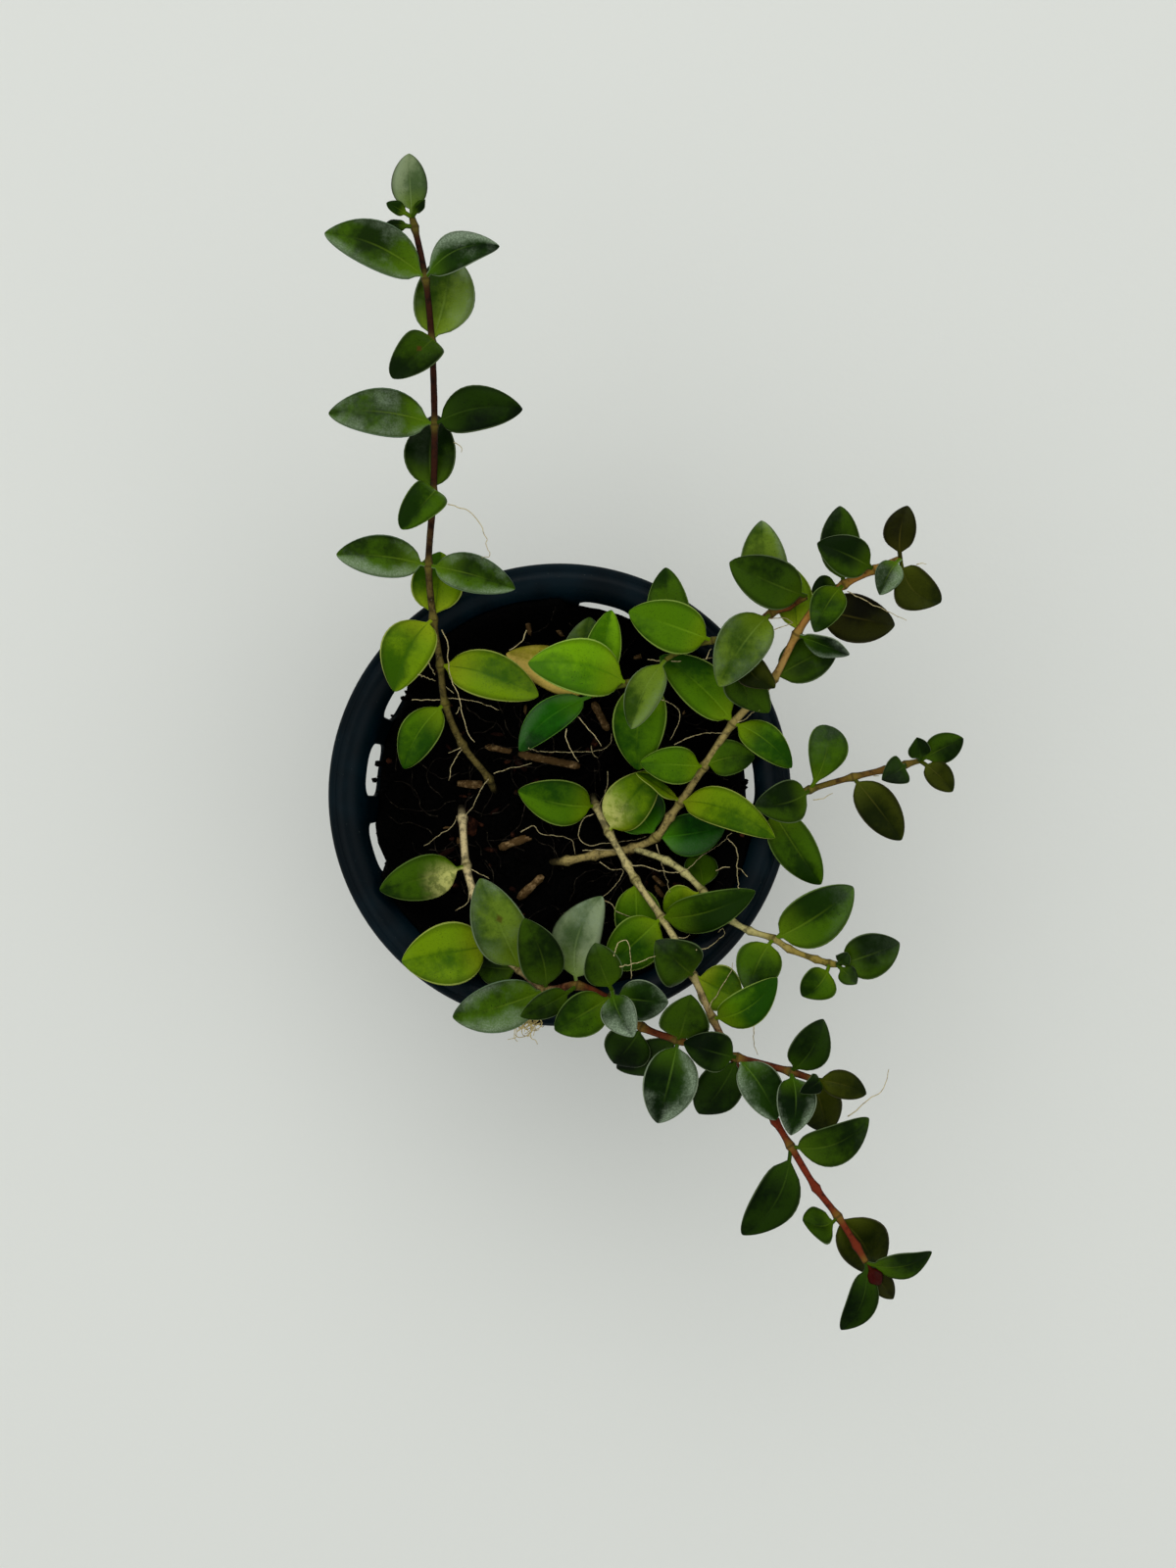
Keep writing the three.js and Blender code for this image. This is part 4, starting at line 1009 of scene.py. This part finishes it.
# %% Pot finish
def pot_finish():
    paint = Paint("dark_plastic")
    mould = paint.noise(60, 3)
    scuffs_and_sheen = paint.noise(900, 4, 0.7)
    dust = paint.noise(2400, 2)
    colour = paint.mix(tint(0, 8, 14), tint(3, 20, 28), paint.fade(mould, 0.35, 0.7))
    # Lighter blue grey patches: partly scuffs of the plastic, partly a painted highlight.
    colour = paint.mix(colour, tint(18, 36, 40), paint.fade(scuffs_and_sheen, 0.58, 0.78) * 0.35)
    # Painted shade: from 4 mm below the top of the rim downward the plastic darkens, for the shade in the
    # pot and under its rim.
    height = paint.node("ShaderNodeSeparateXYZ", None, {0: paint.here}, out="Z")
    colour = paint.mix(colour, tint(0, 5, 9), paint.fade(height, 0.088, 0.08) * 0.7)
    few = paint.fade(dust, 0.45, 0.6)
    colour = paint.mix(colour, tint(120, 130, 124), paint.specks(700, 0.07) * few * 0.5)
    roughness = 0.3 + mould * 0.12 + paint.fade(scuffs_and_sheen, 0.5, 0.8) * 0.12
    relief = paint.bump(paint.noise(1800, 2), 0.03)
    return paint.finish(colour, roughness, relief, Specular_IOR_Level=0.07)


plastic = pot_finish()
print("the pot's finish has", len(plastic.node_tree.nodes), "nodes")

# %% The pot
pot = build("pot_shell", shell, [plastic])
cutters = []
for i in range(SLOT_COUNT):
    cutter = prism(slot, SLOT_REACH)
    angle = math.radians(FIRST_SLOT + i * 360 / SLOT_COUNT - 90)
    middle = POT_HEIGHT - SLOT_TOP - SLOT_HEIGHT / 2
    inner_end = Matrix.Translation((0.0, SLOT_FROM * MM, middle * MM))
    cutter.data.transform(Matrix.Rotation(angle, 4, "Z") @ inner_end)
    cutters.append(cutter)
hole = [
    (DRAIN_RADIUS * math.cos(angle), DRAIN_RADIUS * math.sin(angle)) for angle in full_turn(DRAIN_SIDES)
]
for angle in full_turn(DRAIN_COUNT):
    cutter = prism(hole, DRAIN_REACH)
    below_floor = Matrix.Translation(around(DRAIN_CIRCLE, angle, -2.0))
    cutter.data.transform(below_floor @ Matrix.Rotation(math.pi / 2, 4, "X"))
    cutters.append(cutter)
cut_through(pot, cutters)
pot.data.shade_smooth()
pot.data.set_sharp_from_angle(angle=math.radians(SHARP_FROM))
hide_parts("pot")
print("pot_shell has", len(pot.data.polygons), "faces")

# %% [markdown]
# The soil is black, loose peat, heaped against the wall where the slots can't be looked through.
# A displacement in the shader could roughen a flat disc, but other pieces have to know how high
# the soil lies under them. So a function gives its height at any place, and the body of the
# soil is a closed mesh that follows this function. Where it rises it leans out with the wall.

# %% Lie of the soil
SOIL_TOP = POT_HEIGHT - SOIL_DEPTH
SOIL_BUMP = 0.9
SOIL_GAP = 0.35
SOIL_RADIUS = wall_radius(SOIL_TOP) - SOIL_GAP
# Where peat is heaped against the wall: from and to which degree, and how high.
BANKS = (
    (16, 65, 21.5), (64, 90, 14), (87, 137, 21.5), (130, 147, 14), (186, 204, 11), (201, 353, 21.5),
)
BANK_FOOT = 0.84
BANK_END = 4.0
LOOSE_PEAT = 3.5
CRUMBLE = 0.9
HIGHEST_PEAT = POT_HEIGHT - 3.0


def smooth(value, low, high):
    share = min(1.0, max(0.0, (value - low) / (high - low)))
    return share * share * (3 - 2 * share)


def bank_height(x, y):
    """How much higher the peat lies here, against the wall."""
    direction = math.degrees(math.atan2(y, x)) % 360
    rise = smooth(math.hypot(x, y) / SOIL_RADIUS, BANK_FOOT, 1.0)
    ends = [(min(direction - low, high - direction), height) for low, high, height in BANKS]
    heaped = max(height * smooth(end, -BANK_END, BANK_END) for end, height in ends)
    return rise * max(LOOSE_PEAT, heaped)


def soil_level(x, y):
    """Height of the soil over a point, as in the frame with crumbly relief on top, in mm."""
    swell = math.sin(0.31 * x + 0.8) * math.cos(0.27 * y)
    ripple = 0.6 * math.sin(0.5 * (x - y))
    crumbs = noise.noise(Vector((x, y, 3.1)) * 0.35) + 0.6 * noise.noise(Vector((x, y, 7.7)) * 0.9)
    level = SOIL_TOP + SOIL_BUMP * (swell + ripple) + CRUMBLE * crumbs - 0.5 + bank_height(x, y)
    return min(level, HIGHEST_PEAT)


def on_soil(x, y, over):
    """A point of the soil, or a little over it. Where a bank rises it leans out with the wall."""
    level = soil_level(x, y)
    lean = (wall_radius(level) - SOIL_GAP) / SOIL_RADIUS
    return Vector((x * lean, y * lean, level + over)) * MM


print("the soil lies", round(soil_level(0, 0), 1), "mm up in the middle")

# %% Peat and bark
def peat_finish(name, dark, light, scale=900):
    paint = Paint(name)
    lumps = paint.noise(scale, 4, 0.65)
    colour = paint.mix(tint(*dark), tint(*light), paint.fade(lumps, 0.48, 0.72))
    relief = paint.bump(lumps, 0.6)
    return paint.finish(colour, 0.85 + lumps * 0.1, relief, Specular_IOR_Level=0.03)


peat = peat_finish("peat", (1, 1, 1), (7, 5, 4))
bark = peat_finish("bark", (26, 12, 8), (78, 44, 28), 500)
pale_bark = peat_finish("pale_bark", (80, 60, 34), (156, 128, 88), 600)
fibre = peat_finish("fibre", (26, 22, 18), (74, 66, 54), 700)
print("finishes of the soil:", [finish.name for finish in (peat, bark, pale_bark, fibre)])

# %% Body of the soil
SOIL_RINGS = 46
SOIL_SIDES = 120
SOIL_HUB = 0.02
bottom = FLOOR + SOIL_GAP
foot = [
    (SOIL_HUB, bottom), (wall_radius(bottom) - SOIL_GAP - 1.3, bottom), (wall_radius(30) - SOIL_GAP, 30.0),
]
body = Shape()
rings = [[body.add(around(radius, angle, z)) for angle in full_turn(SOIL_SIDES)] for radius, z in foot]
for i in range(SOIL_RINGS):
    radius = max(SOIL_HUB, SOIL_RADIUS * (1 - i / (SOIL_RINGS - 1)))
    spots = [(radius * math.cos(angle), radius * math.sin(angle)) for angle in full_turn(SOIL_SIDES)]
    rings.append([body.add(on_soil(x, y, 0.0)) for x, y in spots])
body.skin(rings, 0)
soil = build("soil_peat", body, [peat])
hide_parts("soil")
print("soil_peat has", len(soil.data.polygons), "faces")

# %% [markdown]
# On the peat lie crumbs, chips of bark, a few sticks and a knob of wood. Particles could scatter
# them, but they are lost when the model is taken elsewhere. So each is a small ball of a few
# faces that is pushed about and stretched, and all are joined in one mesh. A fixed seed sows them,
# so that every run gives the same soil. A few more lie in the open slots and make them look
# ragged from above. They rest on nothing, so from the side some of them hang in the opening.

# %% Crumbs and chips
# How many there are, how far from the axis they reach and how large they are.
CRUMB_COUNT, CRUMB_REACH, CRUMB_SIZES = 1100, 47.0, (0.35, 1.25)
CHIP_COUNT, CHIP_REACH, CHIP_SIZES = 55, 46.0, (1.2, 3.2)
# Slots that are open, counted from the first, how many crumbs are in each, how far aside of its
# middle in degrees, how far over its lower edge, and how large.
OPEN_SLOTS = (0, 3, 6, 7, 8)
SLOT_CRUMBS = 4
SLOT_CRUMB_ASIDE = 8
SLOT_CRUMB_HEIGHTS = (3, 11)
SLOT_CRUMB_SIZES = (0.5, 1.5)
PEAT_SHARE = 0.95
BARK_SHARE = 0.7


def lump(shape, middle, sizes, heading, chance, finish):
    """An uneven lump: a ball of a few faces, pushed about and stretched."""
    form = bmesh.new()
    bmesh.ops.create_icosphere(form, subdivisions=1, radius=1.0)
    turn = Matrix.Rotation(heading, 3, "Z")
    first = len(shape.points)
    for corner in form.verts:
        push = chance.uniform(0.7, 1.2)
        point = Vector([corner.co[k] * sizes[k] * push for k in range(3)])
        shape.add(middle + turn @ point * MM)
    for face in form.faces:
        shape.face(tuple(first + corner.index for corner in face.verts), finish)
    form.free()


def sown(chance, reach):
    """An even random place on the soil."""
    radius = reach * math.sqrt(chance.random())
    angle = chance.uniform(0, 2 * math.pi)
    return radius * math.cos(angle), radius * math.sin(angle)


chance = random.Random(7)
crumbs = Shape()
for _ in range(CRUMB_COUNT):
    x, y = sown(chance, CRUMB_REACH)
    size = chance.uniform(*CRUMB_SIZES)
    spot = on_soil(x, y, size * 0.2)
    sizes = (size, size * chance.uniform(0.6, 1.0), size * chance.uniform(0.45, 0.8))
    heading = chance.uniform(0, math.pi)
    lump(crumbs, spot, sizes, heading, chance, 0 if chance.random() < PEAT_SHARE else 1)
for _ in range(CHIP_COUNT):
    x, y = sown(chance, CHIP_REACH)
    size = chance.uniform(*CHIP_SIZES)
    spot = on_soil(x, y, 0.4)
    sizes = (size, size * 0.32, 0.4)
    heading = chance.uniform(0, math.pi)
    lump(crumbs, spot, sizes, heading, chance, 1 if chance.random() < BARK_SHARE else 2)
for i in OPEN_SLOTS:
    for _ in range(SLOT_CRUMBS):
        aside = chance.uniform(-SLOT_CRUMB_ASIDE, SLOT_CRUMB_ASIDE)
        angle = math.radians(FIRST_SLOT + i * 360 / SLOT_COUNT + aside)
        z = POT_HEIGHT - SLOT_TOP - SLOT_HEIGHT + chance.uniform(*SLOT_CRUMB_HEIGHTS)
        size = chance.uniform(*SLOT_CRUMB_SIZES)
        radius = wall_radius(z) - size * 0.8
        lump(crumbs, around(radius, angle, z), (size, size * 0.7, size), angle, chance, 0)
loose = build("soil_crumbs", crumbs, [peat, bark, pale_bark])
print("soil_crumbs has", len(crumbs.faces), "faces")

# %% Sticks
# Each stick from one end to the other as seen from above, and its thickness.
STICKS = [
    ((-20, 12.6), (-11, 10.8), 1.9), ((-10.5, 10.4), (5.2, 7.2), 2.1), ((-26, 2.9), (-18.6, 2.4), 2.4),
    ((-15.4, -13.6), (-6.4, -10.2), 2.2), ((-10.6, -26.6), (-4.2, -20.6), 2.3),
    ((8.6, 23.6), (12.4, 16.4), 2.1),
]
STICK_SIDES = 9
STICK_STEP = 1.2 * MM
STICK_ARCH = 0.3 * MM
STICK_OVER = 0.7
STICK_UNEVEN = 0.25
KNOB = (-23.4, -8.0)
KNOB_RADIUS = 3.6

sticks = Shape()
for (x0, y0), (x1, y1), thick in STICKS:
    a, b = place(x0, y0, -SOIL_DEPTH), place(x1, y1, -SOIL_DEPTH)
    a.z = b.z = (soil_level((a.x + b.x) / 2 / MM, (a.y + b.y) / 2 / MM) + STICK_OVER) * MM
    points = smooth_path([a, a.lerp(b, 0.5) + Vector((0, 0, STICK_ARCH)), b], STICK_STEP)
    radii = [thick / 2 * MM * (1 + STICK_UNEVEN * noise.noise(point * 700)) for point in points]
    radii[0] *= 0.6
    radii[-1] *= 0.5
    sticks.skin(round_rings(sticks, points, radii, STICK_SIDES), 0)
knob_at = place(*KNOB, -SOIL_DEPTH)
knob_at.z = soil_level(knob_at.x / MM, knob_at.y / MM) * MM
lump(sticks, knob_at, (KNOB_RADIUS, KNOB_RADIUS * 0.85, KNOB_RADIUS * 0.6), 0.4, chance, 1)
bark_sticks = build("bark_sticks", sticks, [pale_bark, bark])
print(len(STICKS), "sticks and a knob")

# %% [markdown]
# Fibres and roots are thin round threads. Hair would draw them quickly, but it isn't a mesh, and
# the exported model would lose it. So each is a thin tube along a smooth path that wanders a
# little. The fine dead roots in the soil are sown at random and lie on it. The wandering comes
# from noise_vector, which takes its seed from the clock unless it is given one. So it is given
# one here, and every run gives the same threads.

# %% Threads
THREAD_SEED = 3
WANDER = 0.35 * MM
THREAD_STEP = 0.8 * MM
THREAD_SIDES = 6
DEAD_ROOT_COUNT, DEAD_ROOT_REACH = 120, 45.0
DEAD_ROOT_STEP = 2.6
DEAD_ROOT_BEND = 0.7
noise.seed_set(THREAD_SEED)


def thread(shape, places, radius, taper=0.5):
    """A thin thread that wanders a little. taper is its radius at the end as a share."""
    path = smooth_path(places, THREAD_STEP)
    points = [point + noise.noise_vector(point * 600) * WANDER for point in path]
    count = len(points) - 1
    radii = [radius * MM * (1 - (1 - taper) * i / count) for i in range(count + 1)]
    shape.skin(round_rings(shape, points, radii, THREAD_SIDES), 0)


dead_roots = Shape()
for _ in range(DEAD_ROOT_COUNT):
    x, y = sown(chance, DEAD_ROOT_REACH)
    heading = chance.uniform(0, 2 * math.pi)
    places = []
    for _ in range(chance.randint(4, 9)):
        if math.hypot(x, y) > CRUMB_REACH:
            break
        places.append(on_soil(x, y, chance.uniform(0.2, 1.3)))
        heading += chance.uniform(-DEAD_ROOT_BEND, DEAD_ROOT_BEND)
        x += DEAD_ROOT_STEP * math.cos(heading)
        y += DEAD_ROOT_STEP * math.sin(heading)
    if len(places) > 2:
        thread(dead_roots, places, chance.uniform(0.1, 0.2))
fibres = build("soil_fibres", dead_roots, [fibre])
print("soil pieces:", [piece.name for piece in (soil, loose, bark_sticks, fibres)])

# %% [markdown]
# The pale roots in the air grow from the nodes. Each could be given with all its heights, but
# they were read from above, so each is given only as a line seen from above. It starts at the
# height of the stem nearest to its first place and sinks a little along its way. Where it meets
# something below, it lies on top of that. A ray from the eye finds out what it meets.

# %% Lines of the roots in the air
AIR_ROOTS = {
    "north": [
        [
            (-28.5, 74), (-23, 72.3), (-20, 68.8), (-19, 66), (-18.4, 65), (-18.8, 64), (-17.9, 62),
            (-18, 60.8), (-19.8, 60.7),
        ],
        [
            (-30, 42), (-28.7, 39), (-28.5, 34), (-27.5, 29), (-26, 26), (-24.8, 21), (-23.3, 15.5),
            (-21.5, 13.3),
        ],
        [(-26.8, 90), (-25, 88.5), (-25.2, 87.2)],
        [(-33.5, 34), (-31.8, 30.5)],
        [(-36, 30.7), (-31.5, 29)],
        [(-37.5, 24.2), (-32, 24.2), (-25, 24.5), (-20, 23.4), (-15.5, 21.5)],
        [(-29, 27.5), (-27, 25.8)],
        [(-26.5, 20.5), (-25.5, 22.5)],
        [(-25.3, 12), (-28.3, 10.8)],
        [(-25, 11.5), (-27.5, 7.5), (-28.3, 3.5)],
        [(-16.8, 5.5), (-13, 6.6), (-7, 8)],
        [(-18, 4), (-20, 1.5), (-22, -3), (-24, -5.3)],
    ],
    "south": [
        [(-26.2, -5.5), (-27.3, -8), (-30, -9.7), (-34.5, -13.2)],
        [(-22.5, -19), (-18, -21.3)],
        [(-22.5, -25.5), (-24, -28), (-26.5, -29.5)],
        [(14, -41), (15, -38), (17, -37), (18, -40), (18.2, -47)],
        [(15.5, -43.8), (19, -43), (24.5, -41.3)],
    ],
    "northeast": [
        [(4.7, 20), (8, 16), (10.8, 12.5)],
        [(1.7, 17), (1.7, 14), (4.7, 8.5)],
        [(26, 24.2), (29, 22.8), (30.8, 20.5), (30.3, 18.3), (28.2, 14)],
        [(29.3, 12.8), (33, 14.7), (37, 15.6), (41.5, 15.8)],
        [(8, 12.5), (8.5, 10.5), (10, 9.3)],
        [(12.2, 6), (12.2, 3), (11.2, -0.5), (10.2, -2.6)],
        [(8.7, -4.8), (6.5, -6), (5, -8), (5, -11), (7.5, -13), (12, -12.3), (17.5, -11.8), (22.5, -10.8)],
        [(-10, -9.5), (-6.5, -8), (-4.5, -10), (0, -10.5), (3, -11.5), (3.8, -15)],
        [(6, -14.3), (9, -14), (14, -14.2)],
        [(10.2, -17), (13, -19), (16.3, -19.2), (13.5, -24), (11, -26)],
        [(45.5, 18.6), (48, 19.8), (49, 20.9), (51, 21.4)],
    ],
    "southeast": [
        [(24.8, -12.7), (26.3, -18.5), (27.5, -22), (28, -24.8)],
        [(11.3, -27), (13.5, -28), (14.8, -30), (18, -31)],
        [(30.5, -36.4), (32, -36.6), (33.2, -35.5)],
        [(35, -39.7), (38.5, -38.5), (41, -36.5), (42.3, -35.5), (41.5, -34), (40.3, -35.2)],
        [(38, -54.5), (40, -51), (42, -48), (44, -44.5), (44.2, -42.8)],
        [(49.5, -59), (49.8, -64), (50.5, -66.5)],
        [(73.5, -82), (77, -79.5), (79.5, -77), (82, -76), (83.5, -72), (83.8, -70)],
    ],
    "lower_east": [
        [(18.5, -18), (22, -18.3), (26, -19.5), (31.5, -19.5), (36, -15.8), (41, -12.5), (44, -9.7)],
        [(43, -11), (45.2, -14), (45.3, -18.5), (45.6, -24)],
        [(40, -19.3), (43, -18.4), (46, -19), (47.8, -20.8)],
    ],
    "top_shoot": [
        [(22.5, 34.5), (30, 34), (39, 34.9)],
        [(37.5, 34.5), (38, 36), (38.8, 37.3)],
        [(53.5, 45), (57, 45), (59.5, 44)],
        [(55, 42), (59.5, 44)],
        [(73.5, 52), (77, 50), (82, 47.5), (88.5, 44.5)],
        [(91, 58.9), (93.5, 59)],
    ],
    "east": [
        [(64.7, -1.3), (66.5, -1), (69.7, 0.3)],
        [(80, 4.8), (81.5, 4.9)],
    ],
    "soil_shoot": [
        [(-8, 12), (-4.5, 11), (0, 10.9), (7, 11), (11, 11.5), (13, 13), (13.2, 15.5)],
        [(-8.5, 42), (-9, 40), (-11, 38), (-13, 37)],
    ],
}
print(sum(len(lines) for lines in AIR_ROOTS.values()), "roots in the air")

# %% Roots in the air
ROOT_RADIUS = 0.14
ROOT_SINK = 0.12
ROOT_OVER = 0.3
HIGHEST_REST = 16.0
LOWEST_ROOT = 0.8 - SOIL_DEPTH


def what_lies_below():
    """The plant, the soil and the pot as one tree of faces that can be looked down on."""
    points, faces = [], []
    for piece in [*plant_pieces, pot, soil, bark_sticks]:
        first = len(points)
        points += [corner.co.copy() for corner in piece.data.vertices]
        faces += [[first + k for k in face.vertices] for face in piece.data.polygons]
    return BVHTree.FromPolygons(points, faces)


stem_spots = [seen(point) for _, _, points in grown.values() for point in points]


def stem_height(x, y):
    """The height of the stem that passes nearest to this place as seen from above."""
    nearest = min(stem_spots, key=lambda spot: math.hypot(spot[0] - x, spot[1] - y))
    return nearest[2]


def root_places(line, below):
    """True points of a root: sinking from its stem, and on top of whatever it meets."""
    height = stem_height(*line[0])
    made = []
    gone = 0.0
    for k, (px, py) in enumerate(line):
        if k:
            gone += math.dist(line[k - 1], (px, py))
        own = max(LOWEST_ROOT, height - ROOT_SINK * gone)
        hit = below.ray_cast(eye, (place(px, py, 0) - eye).normalized())[0]
        top = seen(hit)[2] if hit else -POT_HEIGHT
        if top > own and top - own < HIGHEST_REST:
            own = top + ROOT_OVER
        made.append(place(px, py, own))
    return made


def root_finish(name, light, dark):
    paint = Paint(name)
    fuzz = paint.noise(1600, 3)
    colour = paint.mix(tint(*light), tint(*dark), paint.fade(fuzz, 0.45, 0.75))
    relief = paint.bump(fuzz, 0.1)
    return paint.finish(colour, 0.7 + fuzz * 0.1, relief, Specular_IOR_Level=0.3)


root_paint = root_finish("air_root", (188, 174, 128), (106, 88, 52))
below = what_lies_below()
for name, lines in AIR_ROOTS.items():
    roots = Shape()
    for line in lines:
        thread(roots, root_places(line, below), ROOT_RADIUS, 0.6)
    piece = build(f"{name}_roots", roots, [root_paint])
    print(piece.name, len(lines), "roots")

# %% [markdown]
# A tangle of golden roots hangs over the rim under the south stem. It is too dense to be read
# root by root, so it is sown like the dead roots, from one place and with a seed of its own.
# Each root of it heads outward, turns at random and sinks as it goes.

# %% The tangle at the rim
TANGLE_X, TANGLE_Y, TANGLE_TOP = -7.5, -57.5, 1.5
TANGLE_COUNT = 30
TANGLE_RADIUS = 0.15
TANGLE_STEP = 1.3
TANGLE_BEND = 1.3
DRIFT_X, DRIFT_Y = -0.35, -0.2

tangle = Shape()
chance = random.Random(5)
for _ in range(TANGLE_COUNT):
    x = TANGLE_X + chance.uniform(-2.5, 2.5)
    y = TANGLE_Y + chance.uniform(-1, 1)
    height = TANGLE_TOP
    heading = math.radians(chance.uniform(-150, -60))
    places = []
    for _ in range(chance.randint(3, 6)):
        places.append(place(x, y, height))
        heading += chance.uniform(-TANGLE_BEND, TANGLE_BEND)
        x += TANGLE_STEP * math.cos(heading) + DRIFT_X
        y += TANGLE_STEP * math.sin(heading) + DRIFT_Y
        height -= chance.uniform(0.2, 1.1)
    thread(tangle, places, TANGLE_RADIUS)
golden = root_finish("golden_root", (196, 178, 116), (112, 92, 46))
piece = build("tangle_roots", tangle, [golden])
print("tangle_roots has", TANGLE_COUNT, "roots")

# %% [markdown]
# The plant stands on a plain pale surface and is seen from straight above. The camera stays as
# far over the rim as the eye that the places were measured with. A sun lamp would throw hard
# shadows, so the light is a wide soft window at the far side, two pale walls and a bright room
# all round, which leaves hardly a shadow.

# %% Camera
FIELD_HEIGHT = 400.0
SENSOR = 36.0

camera = bpy.data.objects.new("camera", bpy.data.cameras.new("camera"))
bpy.context.collection.objects.link(camera)
camera.location = Vector((EYE_X, EYE_Y, POT_HEIGHT + EYE_HEIGHT)) * MM
camera.data.sensor_width = SENSOR
camera.data.lens = SENSOR * EYE_HEIGHT / FIELD_HEIGHT
camera.data.clip_start = 0.01
camera.data.clip_end = 10.0
bpy.context.scene.camera = camera
print("the camera is", round(camera.location.z, 3), "m up")

# %% Light
# Where each light is, how large, how strong in watts and of what colour.
LIGHTS = {
    "window": ((-0.25, 1.2, 1.5), (1.8, 1.4), 10.5, (1.0, 1.0, 0.98)),
    "left_wall": ((-1.2, -0.3, 1.4), (1.4, 1.4), 4.5, (0.99, 1.0, 0.99)),
    "right_wall": ((1.3, -0.2, 1.4), (1.4, 1.4), 4.0, (0.99, 1.0, 0.98)),
}
ROOM_COLOUR = (0.985, 1.0, 0.97, 1.0)
ROOM_STRENGTH = 0.68


def soft_light(name, location, size, power, colour):
    lamp = bpy.data.lights.new(name, "AREA")
    lamp.shape = "RECTANGLE"
    lamp.size, lamp.size_y = size
    lamp.energy = power
    lamp.color = colour
    light = bpy.data.objects.new(name, lamp)
    light.location = location
    light.rotation_euler = (-Vector(location)).to_track_quat("-Z", "Y").to_euler()
    bpy.context.collection.objects.link(light)


for name, light in LIGHTS.items():
    soft_light(name, *light)
world = bpy.data.worlds.new("room")
world.use_nodes = True
room = world.node_tree.nodes["Background"]
room.inputs["Color"].default_value = ROOM_COLOUR
room.inputs["Strength"].default_value = ROOM_STRENGTH
bpy.context.scene.world = world
bpy.context.scene.view_settings.view_transform = "Standard"
print(len(LIGHTS), "soft lights")

# %% Surface
FLOOR_REACH = 3.0
FLOOR_DROP = 0.0002


def surface_finish():
    paint = Paint("pale_surface")
    cloud = paint.noise(3, 2)
    colour = paint.mix(tint(214, 216, 213), tint(219, 221, 218), cloud)
    relief = paint.bump(paint.noise(400, 2), 0.05)
    return paint.finish(colour, 0.75 + cloud * 0.05, relief, Specular_IOR_Level=0.3)


signs = ((-1, -1), (1, -1), (1, 1), (-1, 1))
corners = [(x * FLOOR_REACH, y * FLOOR_REACH, -FLOOR_DROP) for x, y in signs]
floor_mesh = bpy.data.meshes.new("floor")
floor_mesh.from_pydata(corners, [], [(0, 1, 2, 3)])
floor_mesh.materials.append(surface_finish())
floor = bpy.data.objects.new("floor", floor_mesh)
bpy.context.collection.objects.link(floor)
floor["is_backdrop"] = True
print("the surface reaches", FLOOR_REACH, "m each way")

# %% [markdown]
# The frame's box and the dressed model's box are both gathered in sizes, and how far the dressed
# model reaches past the frame's box is printed. The dressed model has to stay within the frame's
# box, apart from a few millimetres.

# %% Sizes
dressed_low, dressed_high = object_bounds()
sizes = {
    "frame": [list(frame_low), list(frame_high)],
    "dressed": [list(dressed_low), list(dressed_high)],
}
print("grown by", [round((b - a) * 1000, 1) for a, b in zip(frame_high, dressed_high)], "mm above")
print("and by", [round((a - b) * 1000, 1) for a, b in zip(frame_low, dressed_low)], "mm below")
